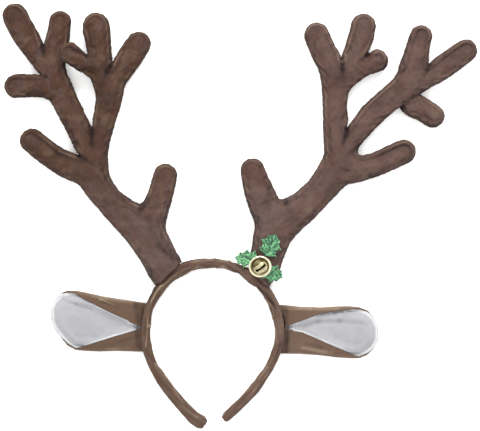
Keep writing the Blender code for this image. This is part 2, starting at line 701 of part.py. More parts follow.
# Holly leaves
def make_leaf(name, mat, turn, root_x, root_y, droop, longer, wider, level):
    length, half = LEAF_LENGTH * longer, LEAF_HALF_WIDTH * wider
    left = [(s * length, w * half) for s, w in LEAF_EDGE]
    edge = [(0.0, half * 0.12)] + left + [(length, 0.0)]
    edge += [(s, -w) for s, w in reversed(left)] + [(0.0, -half * 0.12)]
    rib = [(length * s, 0.0) for s in np.linspace(0.08, 0.90, 8)]
    field = [(s * length, w * half * share) for s, w in LEAF_EDGE[1:-1] for share in (0.45, -0.45)]
    loop = [(i, (i + 1) % len(edge)) for i in range(len(edge))]
    flat, _, faces, _, _, _ = delaunay_2d_cdt(
        [Vector((x * 1000, y * 1000)) for x, y in edge + rib + field], loop, [], 1, 1e-4)
    c, s = math.cos(math.radians(turn)), math.sin(math.radians(turn))
    bm = bmesh.new()
    verts = []
    for v in flat:
        x, y = v.x / 1000, v.y / 1000
        crease = LEAF_CREASE * min(1.0, abs(y) / (0.5 * half))
        ripple = math.sin(18 * x / length + 1.3 * turn) * math.cos(8 * y / half)
        crinkle = 0.09 * LEAF_THICKNESS * (1 + ripple)
        z = level + LEAF_THICKNESS / 2 + GAP + crease + crinkle - droop * (x / length) ** 2
        verts.append(bm.verts.new((BELL_PLACE[0] + root_x + c * x - s * y,
                                   BELL_PLACE[1] + root_y + s * x + c * y, z)))
    for face in faces:
        bm.faces.new([verts[i] for i in face])
    leaf = add_object(name, bm, mat, 40)
    felt = leaf.modifiers.new("felt thickness", "SOLIDIFY")
    felt.thickness = LEAF_THICKNESS
    felt.offset = 0.0
    return leaf


# Bell
def revolve(profile, segments):
    # Solid turned round z; the profile starts and ends on the axis
    bm = bmesh.new()
    first = bm.verts.new((0, 0, profile[0][1]))
    last = bm.verts.new((0, 0, profile[-1][1]))
    rings = []
    for r, z in profile[1:-1]:
        rings.append([bm.verts.new((r * math.cos(2 * math.pi * k / segments),
                                    r * math.sin(2 * math.pi * k / segments), z))
                      for k in range(segments)])
    for k in range(segments):
        m = (k + 1) % segments
        bm.faces.new((first, rings[0][k], rings[0][m]))
        for a, b in zip(rings[:-1], rings[1:]):
            bm.faces.new((a[k], b[k], b[m], a[m]))
        bm.faces.new((last, rings[-1][m], rings[-1][k]))
    return bm


def arc(radius, start, end, count, centre=0.0):
    # Points of a quarter of a ball, angles from the axis in degrees
    return [(radius * math.sin(math.radians(a)), centre + radius * math.cos(math.radians(a)))
            for a in np.linspace(start, end, count)]


def make_bell(brass, steel, level):
    centre_z = level + BELL_SHANK + BELL_BOWL
    place = (Matrix.Translation((*BELL_PLACE, centre_z))
             @ Matrix.Rotation(math.radians(BELL_TILT), 4, "X"))
    # slotted half: a dome standing in a groove inside the rolled rim
    lift = BELL_WALL / 3
    outer = arc(BELL_DOME, 0, 80, 6, lift)
    rim = [(BELL_DOME + 0.2 * BELL_WALL, 1.7 * BELL_WALL),
           (BELL_DOME + BELL_WALL, 2.2 * BELL_WALL),
           (BELL_RIM - 0.7 * BELL_WALL, 2.0 * BELL_WALL), (BELL_RIM, 1.2 * BELL_WALL),
           (BELL_RIM, BELL_WALL / 3), (BELL_RIM - 0.5 * BELL_WALL, BELL_SEAM / 2)]
    inner = [(BELL_DOME - 0.8 * BELL_WALL, BELL_SEAM / 2)]
    inner += arc(BELL_DOME - BELL_WALL, 80, 0, 5, lift)
    bell = add_object("bell_front", revolve(outer + rim + inner, 24), brass)
    slot = bmesh.new()
    bmesh.ops.create_cube(slot, size=1.0, matrix=Matrix.Translation((0, 0, BELL_DOME))
                          @ Matrix.Diagonal((SLOT_LENGTH, SLOT_WIDTH, BELL_DOME, 1.0)))
    slot_obj = add_object("slot_cutter", slot, brass)
    slot_obj.matrix_world = place @ Matrix.Rotation(math.radians(SLOT_ANGLE), 4, "Z")
    cutters = [slot_obj]
    for end in (-1, 1):
        hole = bmesh.new()
        bmesh.ops.create_cone(hole, cap_ends=True, segments=16, radius1=SLOT_HOLE,
                              radius2=SLOT_HOLE, depth=BELL_DOME,
                              matrix=Matrix.Translation((end * SLOT_LENGTH / 2, 0, 1.05 * BELL_DOME)))
        hole_obj = add_object("slot_hole_cutter", hole, brass)
        hole_obj.matrix_world = place @ Matrix.Rotation(math.radians(SLOT_ANGLE), 4, "Z")
        cutters.append(hole_obj)
    for cutter in cutters:
        cut = bell.modifiers.new("slot", "BOOLEAN")
        cut.operation = "DIFFERENCE"
        cut.solver = "EXACT"
        cut.object = cutter
        cutter.hide_render = True
        cutter.display_type = "WIRE"
    bell.matrix_world = place
    # plain half with the stub that is sewn down
    foot = -BELL_BOWL - BELL_SHANK + GAP
    outer = [(0.0, foot), (1.8 * BELL_WALL, foot), (2 * BELL_WALL, foot + BELL_WALL / 2),
             (2 * BELL_WALL, -BELL_BOWL + BELL_WALL / 3)]
    outer += [(r, -z) for r, z in arc(BELL_BOWL, 16, 89, 6)]
    outer += [(BELL_BOWL, -BELL_SEAM / 2), (BELL_BOWL - BELL_WALL, -BELL_SEAM / 2)]
    outer += [(r, -z) for r, z in arc(BELL_BOWL - BELL_WALL, 84, 0, 5)]
    bowl = add_object("bell_back", revolve(outer, 24), brass)
    bowl.matrix_world = place
    pea = bmesh.new()
    bmesh.ops.create_uvsphere(pea, u_segments=12, v_segments=8, radius=PEA_RADIUS)
    ball = add_object("bell_pea", pea, steel)
    middle = place.translation
    ball.location = middle - Vector((0, 0, BELL_BOWL - BELL_WALL - PEA_RADIUS - GAP))
    return [bell, bowl, ball] + cutters


def main():
    for obj in list(bpy.data.objects):
        bpy.data.objects.remove(obj, do_unlink=True)
    plush = make_material("brown_plush", (0.130, 0.080, 0.062), 0.9)
    lining = make_material("white_plush", (0.62, 0.60, 0.60), 0.9)
    glitter = make_material("green_glitter", (0.090, 0.310, 0.150), 0.45)
    brass = make_material("gold_brass", (0.80, 0.66, 0.34), 0.2, 1.0)
    steel = make_material("pea_steel", (0.55, 0.55, 0.56), 0.3, 1.0)

    made = [make_band(plush)]
    antler, small, _ = make_antler("antler_left", plush, LEFT_LIMBS, LEFT_CROSSING, LEFT_ROOT,
                                   -1, LEFT_REACH, LEFT_RISE)
    made += [antler, small]
    antler, small, limbs = make_antler("antler_right", plush, RIGHT_LIMBS, RIGHT_CROSSING,
                                       RIGHT_ROOT, 1, RIGHT_REACH, RIGHT_RISE)
    made += [antler, small]

    inward = EAR_THICKNESS / 2 + 1.25 * GAP + LINING_THICKNESS / 2
    for word, rows, side, length, half_width, root in (
            ("left", LEFT_EAR_ROWS, -1, LEFT_EAR_LENGTH, LEFT_EAR_HALF_WIDTH, LEFT_EAR_ROOT),
            ("right", RIGHT_EAR_ROWS, 1, RIGHT_EAR_LENGTH, RIGHT_EAR_HALF_WIDTH, RIGHT_EAR_ROOT)):
        made.append(make_ear("ear_%s_back" % word, plush, rows, side, length, half_width, root,
                             0.0, EAR_THICKNESS, 0))
        made.append(make_ear("ear_%s_lining" % word, lining, rows, side, length, half_width, root,
                             inward, LINING_THICKNESS, 45))

    for name, turn, root_x, root_y, *shape in LEAVES:
        under = front_level(BELL_PLACE[0] + root_x, BELL_PLACE[1] + root_y, limbs)
        made.append(make_leaf(name, glitter, turn, root_x, root_y, *shape, under))
    made += make_bell(brass, steel, front_level(*BELL_PLACE, limbs))

    # The origin goes under the middle of the whole piece
    bpy.context.view_layer.update()
    graph = bpy.context.evaluated_depsgraph_get()
    low, high = Vector((1, 1, 1)), Vector((-1, -1, -1))
    for obj in made:
        if obj.display_type == "WIRE":
            continue
        shown = obj.evaluated_get(graph)
        for vert in shown.data.vertices:
            co = shown.matrix_world @ vert.co
            low = Vector(map(min, low, co))
            high = Vector(map(max, high, co))
    move = Matrix.Translation((-(low.x + high.x) / 2, -(low.y + high.y) / 2, -low.z))
    for obj in made:
        obj.matrix_world = move @ obj.matrix_world
    bpy.context.view_layer.update()


main()
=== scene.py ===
import math

import bmesh
import bpy
import numpy as np
from mathutils import Matrix, Vector, noise
from mathutils.bvhtree import BVHTree
from mathutils.kdtree import KDTree


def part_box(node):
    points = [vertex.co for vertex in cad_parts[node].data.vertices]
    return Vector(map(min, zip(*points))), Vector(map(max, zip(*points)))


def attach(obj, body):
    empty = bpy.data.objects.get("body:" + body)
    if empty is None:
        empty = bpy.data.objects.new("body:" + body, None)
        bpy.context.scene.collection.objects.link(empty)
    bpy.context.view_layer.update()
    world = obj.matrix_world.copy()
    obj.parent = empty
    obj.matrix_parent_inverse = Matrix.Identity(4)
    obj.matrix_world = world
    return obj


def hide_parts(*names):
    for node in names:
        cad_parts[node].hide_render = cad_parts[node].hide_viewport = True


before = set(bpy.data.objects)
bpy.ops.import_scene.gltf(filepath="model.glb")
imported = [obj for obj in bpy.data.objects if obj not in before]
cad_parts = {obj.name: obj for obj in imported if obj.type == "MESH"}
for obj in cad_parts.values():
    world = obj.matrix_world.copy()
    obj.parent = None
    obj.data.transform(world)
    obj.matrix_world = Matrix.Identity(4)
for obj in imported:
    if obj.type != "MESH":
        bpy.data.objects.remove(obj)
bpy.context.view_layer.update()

# Reindeer antler headband lying on a pale table, seen from straight above.
# Lengths are in metres, except where a name or a note says mm.

scene = bpy.context.scene
mm = 0.001
flatten = np.array([1, 1, 0])    # a point times this is the point as seen from above


# camera, table and light
# The camera comes first, so that everything else can be judged against the photo.

view = {
    "height": 1.11,        # camera above the table
    "lens": 93.75,         # mm on a 36 mm sensor: 0.88 mm of antler per pixel
    "aim": (0.0, 0.0004),
}


def setUpCamera():
    data = bpy.data.cameras.new("topCamera")
    data.lens = view["lens"]
    data.sensor_width = 36
    data.dof.use_dof = False
    camera = bpy.data.objects.new("topCamera", data)
    camera.location = (view["aim"][0], view["aim"][1], view["height"])
    scene.collection.objects.link(camera)
    scene.camera = camera


setUpCamera()
print("camera above the table")


table = {
    "size": 6.0,
    "colour": (0.95, 0.948, 0.94, 1),
    "skyColour": (1.0, 1.0, 1.0, 1),
    "skyStrength": 1.90,
    # name, x, y, z, width, height, watts, the point that it faces
    "lamps": [
        ("windowLamp", 0.10, 1.25, 0.95, 1.5, 0.7, 36.0, (0.0, 0.0, 0.0)),
        ("fillLamp", -1.1, 0.1, 1.0, 0.8, 1.2, 2.5, (0.0, 0.0, 0.0)),
    ],
}


def deselectAll():
    if bpy.context.object and bpy.context.object.mode != "OBJECT":
        bpy.ops.object.mode_set(mode="OBJECT")
    bpy.ops.object.select_all(action="DESELECT")


def pick(piece):
    deselectAll()
    piece.select_set(True)
    bpy.context.view_layer.objects.active = piece


def layTable():
    deselectAll()
    bpy.ops.mesh.primitive_plane_add(size=table["size"], location=(0, 0, -0.0002))
    floor = bpy.context.object
    floor.name = "tableTop"
    paint = bpy.data.materials.new("paleTable")
    paint.use_nodes = True
    shader = paint.node_tree.nodes["Principled BSDF"]
    shader.inputs["Base Color"].default_value = table["colour"]
    shader.inputs["Roughness"].default_value = 0.85
    shader.inputs["Specular IOR Level"].default_value = 0.15
    floor.data.materials.append(paint)
    sky = bpy.data.worlds.new("studioSky")
    sky.use_nodes = True
    background = sky.node_tree.nodes["Background"]
    background.inputs["Color"].default_value = table["skyColour"]
    background.inputs["Strength"].default_value = table["skyStrength"]
    scene.world = sky
    for name, x, y, z, width, height, watts, aim in table["lamps"]:
        light = bpy.data.lights.new(name, "AREA")
        light.shape = "RECTANGLE"
        light.size, light.size_y = width, height
        light.energy = watts
        lamp = bpy.data.objects.new(name, light)
        lamp.location = (x, y, z)
        towards = Vector(aim) - lamp.location
        lamp.rotation_euler = towards.to_track_quat("-Z", "Y").to_euler()
        scene.collection.objects.link(lamp)
    scene.view_settings.view_transform = "Standard"
    scene.view_settings.look = "None"


layTable()
print("table and lamps")


# materials

def nodeMaker(material):
    nodes, links = material.node_tree.nodes, material.node_tree.links

    def make(kind, settings=None, **inputs):
        node = nodes.new(kind)
        for key, value in (settings or {}).items():
            setattr(node, key, value)
        for key, value in inputs.items():
            socket = node.inputs[int(key[1:])] if key[0] == "i" and key[1:].isdigit() \
                else node.inputs[key.replace("_", " ")]
            if isinstance(value, bpy.types.NodeSocket):
                links.new(value, socket)
            else:
                socket.default_value = value
        return node
    return make, links


def startMaterial(name):
    material = bpy.data.materials.new(name)
    material.use_nodes = True
    make, links = nodeMaker(material)
    shader = material.node_tree.nodes["Principled BSDF"]
    return material, make, links, shader, make("ShaderNodeTexCoord").outputs["Object"]


def kept(make, name):
    # a value that keepValues stored on each point of the piece
    return make("ShaderNodeAttribute", {"attribute_name": name}).outputs["Fac"]


def mixColours(make, factor, first, second):
    node = make("ShaderNodeMix", {"data_type": "RGBA"})
    for index, value in ((0, factor), (6, first), (7, second)):
        if isinstance(value, bpy.types.NodeSocket):
            node.id_data.links.new(value, node.inputs[index])
        else:
            node.inputs[index].default_value = value
    return node.outputs[2]


def spread(make, value, low, high, outLow=0.0, outHigh=1.0):
    node = make("ShaderNodeMapRange", {"interpolation_type": "SMOOTHSTEP"}, i0=value, i1=low,
                i2=high, i3=outLow, i4=outHigh)
    return node.outputs[0]


def calculate(make, operation, first, second=0.0):
    return make("ShaderNodeMath", {"operation": operation}, i0=first, i1=second).outputs[0]


def apartFrom(make, value, middle):
    return calculate(make, "ABSOLUTE", calculate(make, "SUBTRACT", value, middle))


def noiseAt(make, place, scale, detail=3.0, rough=0.5, warp=0.0):
    return make("ShaderNodeTexNoise", None, Vector=place, Scale=scale, Detail=detail,
                Roughness=rough, Distortion=warp).outputs[0]


def addBump(make, shader, strength, depth, height):
    bump = make("ShaderNodeBump", None, Strength=strength, Distance=depth, Height=height)
    bump.id_data.links.new(bump.outputs[0], shader.inputs["Normal"])


plush = {
    # the left antler is a little darker and more olive than the right one
    "brown": (0.0390, 0.0185, 0.0112, 1),
    "brownRight": (0.0660, 0.0385, 0.0315, 1),
    "reddish": (0.0530, 0.0255, 0.0185, 1),
    "mauve": (0.0500, 0.0340, 0.0350, 1),
    "deep": (0.0225, 0.0130, 0.0115, 1),
    "light": (0.1150, 0.0790, 0.0560, 1),
    "crease": (0.0092, 0.0054, 0.0058, 1),
    "paintedHighlight": (0.185, 0.138, 0.098, 1),
    "foot": (0.0760, 0.0520, 0.0470, 1),
    "sleeve": (0.105, 0.071, 0.050, 1),
    "ear": (0.112, 0.076, 0.049, 1),
    "white": (0.216, 0.215, 0.223, 1),
    "whiteShade": (0.196, 0.193, 0.201, 1),
    "whiteNap": (0.250, 0.252, 0.261, 1),
    "whiteHighlight": (0.46, 0.47, 0.48, 1),
    "whiteFoldShade": (0.125, 0.124, 0.138, 1),
}


def makeBrownPlush(name, lift, warm):
    # short velour pile: patches where it was brushed another way, fine nap and a soft sheen
    material, make, links, shader, place = startMaterial(name)
    brushed = make("ShaderNodeMapping", None, Vector=place, Rotation=(0, 0, 0.5),
                   Scale=(1.0, 0.45, 1.0)).outputs[0]
    patches = noiseAt(make, place, 26.0, 3.0, 0.55, 0.4)
    mottle = noiseAt(make, brushed, 130.0, 4.0, 0.62, 0.6)
    nap = noiseAt(make, brushed, 620.0, 3.0, 0.6)
    fibre = noiseAt(make, place, 2600.0, 2.0, 0.6)
    spot = make("ShaderNodeSeparateXYZ", None, Vector=place)
    colour = mixColours(make, spread(make, spot.outputs[0], -0.10, 0.06), plush["brown"],
                        plush["brownRight"])
    if not lift:
        # both antlers are paler and greyer towards the foot
        colour = mixColours(make, spread(make, spot.outputs[1], 0.055, -0.015, 0.0, 0.65), colour,
                            plush["foot"])
    cloudy = noiseAt(make, place, 55.0, 3.0, 0.55, 0.5)
    # a pattern, where it starts and is full, and how much of which tint it brings
    for pattern, low, high, most, tint in (
            (patches, 0.46, 0.66, 0.55, "reddish"), (cloudy, 0.46, 0.30, 0.45, "deep"),
            (cloudy, 0.52, 0.72, 0.28, "light"), (mottle, 0.50, 0.70, 0.50, "mauve"),
            (nap, 0.54, 0.74, 0.20, "light"), (nap, 0.46, 0.28, 0.26, "deep"),
            (fibre, 0.35, 0.65, 0.22, "deep")):
        colour = mixColours(make, spread(make, pattern, low, high, 0.0, most), colour, plush[tint])
    colour = mixColours(make, lift, colour, warm)
    # painted highlight: a pale brown mixed in where ridges, folds and rim crests would catch the
    # lamp
    paintedHighlight = calculate(make, "MULTIPLY", kept(make, "rub"), 0.8)
    colour = mixColours(make, paintedHighlight, colour, plush["paintedHighlight"])
    # painted shade: a dark brown mixed in where creases, dips, folds and sides would fall in shade
    sunk = calculate(make, "MULTIPLY", kept(make, "crease"), 0.85)
    colour = mixColours(make, sunk, colour, plush["crease"])
    links.new(colour, shader.inputs["Base Color"])
    rise = calculate(make, "ADD", calculate(make, "MULTIPLY", nap, 0.55),
                     calculate(make, "MULTIPLY", fibre, 0.30))
    rise = calculate(make, "ADD", rise, calculate(make, "MULTIPLY", mottle, 0.8))
    addBump(make, shader, 0.75, 0.7 * mm, rise)
    shader.inputs["Roughness"].default_value = 0.92
    shader.inputs["Specular IOR Level"].default_value = 0.10
    shader.inputs["Sheen Weight"].default_value = 0.10
    shader.inputs["Sheen Roughness"].default_value = 0.40
    shader.inputs["Sheen Tint"].default_value = (0.80, 0.60, 0.46, 1)
    return material


def makeWhitePlush():
    material, make, links, shader, place = startMaterial("whitePlush")
    patches = noiseAt(make, place, 60.0, 3.0, 0.5, 0.3)
    nap = noiseAt(make, place, 700.0, 3.0, 0.6)
    fibre = noiseAt(make, place, 2600.0, 2.0, 0.6)
    colour = mixColours(make, spread(make, patches, 0.40, 0.62), plush["white"],
                        plush["whiteShade"])
    colour = mixColours(make, spread(make, nap, 0.5, 0.75, 0.0, 0.5), colour, plush["whiteNap"])
    # painted highlight on the lining's rim and along the flap's edge, painted shade in its folds
    colour = mixColours(make, kept(make, "rub"), colour, plush["whiteHighlight"])
    colour = mixColours(make, kept(make, "crease"), colour, plush["whiteFoldShade"])
    links.new(colour, shader.inputs["Base Color"])
    rise = calculate(make, "ADD", calculate(make, "MULTIPLY", nap, 0.6),
                     calculate(make, "MULTIPLY", fibre, 0.4))
    addBump(make, shader, 0.5, 0.5 * mm, rise)
    shader.inputs["Roughness"].default_value = 0.9
    shader.inputs["Specular IOR Level"].default_value = 0.15
    shader.inputs["Sheen Weight"].default_value = 0.2
    shader.inputs["Sheen Roughness"].default_value = 0.5
    shader.inputs["Sheen Tint"].default_value = (0.95, 0.97, 1.0, 1)
    return material


brownPlush = makeBrownPlush("brownPlush", 0.0, plush["light"])
sleevePlush = makeBrownPlush("sleevePlush", 0.20, plush["sleeve"])
earPlush = makeBrownPlush("earPlush", 0.38, plush["ear"])
whitePlush = makeWhitePlush()
print("plush materials")


# working on stuffed cloth

def copyOfNode(node, name):
    piece = bpy.data.objects.new(name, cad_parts[node].data.copy())
    scene.collection.objects.link(piece)
    piece.data.materials.clear()
    pick(piece)
    bpy.ops.mesh.customdata_custom_splitnormals_clear()
    bpy.ops.object.mode_set(mode="EDIT")
    bpy.ops.mesh.select_all(action="SELECT")
    bpy.ops.mesh.remove_doubles(threshold=0.00002)
    bpy.ops.object.mode_set(mode="OBJECT")
    return piece


def pointsOf(piece):
    flat = np.empty(len(piece.data.vertices) * 3)
    piece.data.vertices.foreach_get("co", flat)
    return flat.reshape(-1, 3)


def normalsOf(piece):
    flat = np.empty(len(piece.data.vertices) * 3)
    piece.data.vertex_normals.foreach_get("vector", flat)
    return flat.reshape(-1, 3)


def putPoints(piece, points):
    piece.data.vertices.foreach_set("co", np.ascontiguousarray(points).ravel())
    piece.data.update()


def restOnTable(points):
    # stuffing that would sink below the table is pressed flat against it
    points[:, 2] = np.maximum(points[:, 2], 0.02 * mm)
    return points


def keepValues(piece, name, values):
    old = piece.data.attributes.get(name)
    layer = old or piece.data.attributes.new(name, "FLOAT", "POINT")
    layer.data.foreach_set("value", np.ascontiguousarray(values, dtype=np.float32))


def smoothStep(value, low, high):
    share = np.clip((np.asarray(value) - low) / (high - low), 0, 1)
    return share * share * (3 - 2 * share)


def hump(value, middle, width):
    return np.exp(-((value - middle) / width) ** 2)


def farFrom(points, x, y):
    # seen from above, and x and y are in mm
    return np.hypot(points[:, 0] - x * mm, points[:, 1] - y * mm)


def noiseOver(points, scale, seed):
    shift = Vector((seed * 3.7, seed * 1.9, seed * 5.3))
    return np.array([noise.noise(Vector(p) * scale + shift) for p in points])


def surfaceOf(piece):
    return BVHTree.FromPolygons([v.co for v in piece.data.vertices],
                                [tuple(p.vertices) for p in piece.data.polygons])


def roomBeside(points, nodes, near, far):
    # 0 close to the pieces named, 1 well away from them
    room = np.ones(len(points))
    for node in nodes:
        tree = surfaceOf(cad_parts[node])
        low, high = (np.array(c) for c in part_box(node))
        close = np.all((points > low - far) & (points < high + far), axis=1)
        for index in np.nonzero(close)[0]:
            distance = tree.find_nearest(Vector(points[index]))[3]
            room[index] = min(room[index], float(smoothStep(distance, near, far)))
    return room


def seamSamples(piece, spacing=0.0006):
    # the front panel meets the back one where the surface stands upright
    shape = bmesh.new()
    shape.from_mesh(piece.data)
    shape.normal_update()
    places, outwards = [], []
    for edge in shape.edges:
        if len(edge.link_faces) != 2:
            continue
        a, b = (face.normal for face in edge.link_faces)
        if (a.z > 0.02) == (b.z > 0.02):
            continue
        out = Vector((a.x + b.x, a.y + b.y, 0))
        if out.length < 0.2:
            continue
        out.normalize()
        start, end = (v.co for v in edge.verts)
        count = max(1, int((end - start).length / spacing))
        for step in range(count):
            places.append(start.lerp(end, (step + 0.5) / count))
            outwards.append(out)
    shape.free()
    return np.array(places), np.array(outwards)


def nearestOf(points, places):
    # for each point, which place is nearest and how far away it is
    tree = KDTree(len(places))
    for index, place in enumerate(places):
        tree.insert(place, index)
    tree.balance()
    found = [tree.find(p) for p in points]
    return np.array([f[1] for f in found]), np.array([f[2] for f in found])


def remesh(piece, voxel):
    pick(piece)
    piece.data.remesh_voxel_size = voxel
    piece.data.remesh_voxel_adaptivity = 0
    piece.data.use_remesh_preserve_volume = True
    bpy.ops.object.voxel_remesh()


stuffingFrames = 20


def stuff(piece, held, settings, room):
    # air pressure fills the cover, which is held along its seam and cut a little too wide
    start = pointsOf(piece)
    group = piece.vertex_groups.new(name="held")
    for level in range(11):
        chosen = np.nonzero(np.round(held * 10).astype(int) == level)[0]
        if level and len(chosen):
            group.add([int(i) for i in chosen], level / 10, "REPLACE")
    cloth = piece.modifiers.new("stuffing", "CLOTH")
    cloth.settings.quality = 5
    cloth.settings.mass = 0.12
    cloth.settings.tension_stiffness = settings["stretch"]
    cloth.settings.compression_stiffness = settings["stretch"]
    cloth.settings.shear_stiffness = settings["stretch"] * 0.5
    cloth.settings.bending_stiffness = settings["bend"]
    cloth.settings.shrink_min = -settings["spare"]
    cloth.settings.use_pressure = True
    cloth.settings.uniform_pressure_force = settings["pressure"]
    cloth.settings.vertex_group_mass = "held"
    cloth.settings.pin_stiffness = 1.0
    cloth.settings.effector_weights.gravity = 0
    cloth.collision_settings.use_collision = False
    cloth.point_cache.frame_start = 1
    cloth.point_cache.frame_end = stuffingFrames
    for number in range(1, stuffingFrames + 1):
        scene.frame_set(number)
    shown = piece.evaluated_get(bpy.context.evaluated_depsgraph_get())
    move = pointsOf(shown) - start
    length = np.linalg.norm(move, axis=1)
    most = settings["mostMove"]
    move *= (np.minimum(length, most) / np.maximum(length, 1e-9))[:, None] * room[:, None]
    piece.modifiers.remove(cloth)
    piece.vertex_groups.clear()
    scene.frame_set(1)
    putPoints(piece, start + move)
    farthest = np.linalg.norm(move, axis=1).max() / mm
    print("   ", piece.name, "swelled by up to %.1f mm" % farthest)


def cutWith(piece, cutter):
    pick(piece)
    cut = piece.modifiers.new("cut", "BOOLEAN")
    cut.operation = "DIFFERENCE"
    cut.solver = "EXACT"
    cut.object = cutter
    bpy.ops.object.modifier_apply(modifier=cut.name)
    bpy.data.objects.remove(cutter)


def dress(piece, node, finishes, sharpOver=None):
    # the finished piece takes the place of its CAD node
    for finish in finishes:
        piece.data.materials.append(finish)
    pick(piece)
    if sharpOver:
        bpy.ops.object.shade_smooth_by_angle(angle=math.radians(sharpOver))
    else:
        bpy.ops.object.shade_smooth()
    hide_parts(node)
    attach(piece, "root")


def subdivideOnce(piece):
    pick(piece)
    finer = piece.modifiers.new("finer", "SUBSURF")
    finer.levels = finer.render_levels = 1
    bpy.ops.object.modifier_apply(modifier=finer.name)


def pressStrokes(points, normals, strokes, fading=True):
    # each stroke is x0, y0, x1, y1, width, depth in mm, seen from the front; a plus depth sinks
    sink = np.zeros(len(points))
    facing = smoothStep(normals[:, 2], -0.55, 0.15)
    for x0, y0, x1, y1, width, depth in strokes:
        start = np.array([x0, y0]) * mm
        along = np.array([x1, y1]) * mm - start
        reach = max(np.dot(along, along), 1e-12)
        offset = points[:, :2] - start
        share = np.clip(offset @ along / reach, 0, 1)
        away = np.linalg.norm(offset - share[:, None] * along, axis=1)
        fade = 1 - 0.65 * share if fading else np.ones(len(share))
        sink += depth * mm * fade * hump(away, 0, width * mm * (0.6 + 0.4 * fade)) * facing
    return sink


# the antlers: two stuffed plush covers, each with a small tine sewn across it

antlers = {
    "voxel": 1.55 * mm,
    "seamHeight": 8.6 * mm,
    "fuller": 0.85 * mm,       # pile and stuffing stand this far outside the CAD solid
    "clear": 1.2 * mm,         # a fork is cut this far short of the limbs at its open end
    "pastTip": 1.5 * mm,       # and deeper at its point, by what the pile fills again
    "waist": 0.88,             # a fork is narrower at the seam than at its front and back
    "forkDepth": 0.026,
    "heldTo": 1.2 * mm,        # the cloth is pinned this close to the seam
    "freeFrom": 3.2 * mm,
    "stillBy": (0.6 * mm, 9 * mm),      # the foot stays put beside the band, then has room
    "reliefBy": (0.5 * mm, 5 * mm),
    "pressure": 4.0,
    "spare": 0.035,            # cloth cut wider than the seam that holds it
    "stretch": 18.0,
    "bend": 0.25,
    "mostMove": 2.2 * mm,
    "rimAt": 1.9 * mm,         # seam allowance inside: a raised rim with a dip behind it
    "rimHigh": 0.35 * mm,
    "dipAt": 4.4 * mm,
    "dipDeep": 0.60 * mm,
    "seamDeep": 0.45 * mm,
    "lumpy": 0.35 * mm,
    "pucker": 0.36 * mm,
}

# the forks are sewn into sharp notches: the point, then where each side starts, x and y in mm
leftForks = [
    (-172.9, 150.0, -181.1, 166.8, -167.9, 165.4), (-133.8, 142.1, -146.5, 150.9, -136.0, 160.6),
    (-113.3, 132.4, -114.0, 145.6, -103.0, 150.0), (-130.2, 77.0, -139.9, 92.8, -126.5, 101.6),
    (-140.8, 52.8, -158.0, 58.1, -147.0, 64.7), (-176.0, 124.5, -191.0, 123.2, -182.2, 133.3),
]
rightForks = [
    (89.6, 134.6, 85.1, 150.0, 91.7, 147.8), (111.3, 141.7, 117.5, 157.0, 122.8, 147.0),
    (166.1, 134.2, 167.0, 152.2, 180.8, 144.5), (94.0, 76.1, 94.6, 92.8, 108.7, 95.5),
]
# x0, y0, x1, y1, width, depth in mm: creases that run in from the forks and over the limbs
leftCreases = [
    (-172.9, 148.5, -171.5, 138.0, 1.8, 2.2), (-172.0, 147.0, -168.0, 130.0, 5.0, 0.9),
    (-130.2, 75.0, -129.5, 61.0, 2.0, 2.6), (-130.2, 74.0, -127.0, 54.0, 6.0, 1.1),
    (-113.8, 131.0, -118.5, 122.0, 1.8, 2.2), (-114.5, 129.0, -122.0, 108.0, 4.6, 1.2),
    (-133.8, 140.5, -132.5, 133.0, 1.8, 1.6), (-135.0, 142.0, -146.0, 146.0, 2.4, 0.9),
    (-141.0, 52.0, -129.0, 45.0, 2.2, 1.6), (-139.0, 50.0, -120.0, 40.0, 5.5, 0.8),
    (-176.0, 124.0, -167.0, 119.5, 1.8, 1.4), (-83.2, 14.0, -89.0, 0.0, 3.2, 1.9),
    (-166.0, 102.0, -157.0, 108.0, 2.2, 1.1), (-152.0, 102.0, -141.5, 104.5, 1.6, 0.7),
    (-126.0, 44.0, -104.0, 52.0, 4.0, 0.6), (-72.0, -26.0, -60.0, -38.0, 2.2, 1.2),
    (-100.0, -2.0, -92.0, -12.0, 3.4, 0.7), (-76.0, -20.0, -84.0, 4.0, 3.2, 0.5),
]
rightCreases = [
    (89.6, 133.0, 90.5, 121.0, 1.8, 2.4), (90.0, 132.0, 92.5, 110.0, 5.0, 0.9),
    (111.3, 140.5, 104.0, 134.0, 1.8, 1.6), (111.0, 140.0, 122.0, 142.0, 2.6, 1.1),
    (94.0, 74.5, 90.0, 62.0, 2.0, 2.6), (93.0, 73.0, 87.0, 52.0, 6.0, 1.0),
    (166.1, 132.5, 160.5, 122.0, 1.8, 1.8), (165.0, 132.0, 155.0, 114.0, 6.0, 0.9),
    (38.3, 19.0, 43.0, 3.0, 3.2, 1.3), (138.5, 92.0, 159.8, 109.5, 1.6, 1.6),
    (106.0, 61.0, 93.0, 52.0, 2.6, 1.8), (130.0, 135.0, 117.0, 127.0, 2.0, 0.7),
    (98.0, 104.0, 92.0, 97.0, 2.4, 0.8), (86.0, 128.0, 84.0, 112.0, 3.2, 0.5),
    (104.0, 128.0, 96.0, 116.0, 5.0, 0.7), (84.0, 36.0, 96.0, 44.0, 5.0, 0.5),
]
# x, y in mm, radius and how much deeper the dip is behind the rim there: the tine ends
leftTips = [(-195.0, 178.0, 12, 0.5), (-148.0, 172.0, 10, 0.3), (-197.0, 118.0, 12, 0.9),
            (-147.0, 142.0, 10, 1.0), (-76.0, 150.0, 12, 0.4), (-181.0, 62.0, 14, 1.2),
            (-160.0, 52.0, 14, 1.0), (-114.0, 170.0, 11, 0.3)]
rightTips = [(160.0, 158.0, 10, 1.3), (198.0, 146.0, 14, 1.3), (180.0, 136.0, 14, 0.9),
             (146.0, 62.0, 14, 1.3), (124.0, 56.0, 14, 1.0), (112.0, 166.0, 12, 0.5),
             (127.0, 139.0, 10, 0.9), (172.0, 76.0, 12, 0.5)]
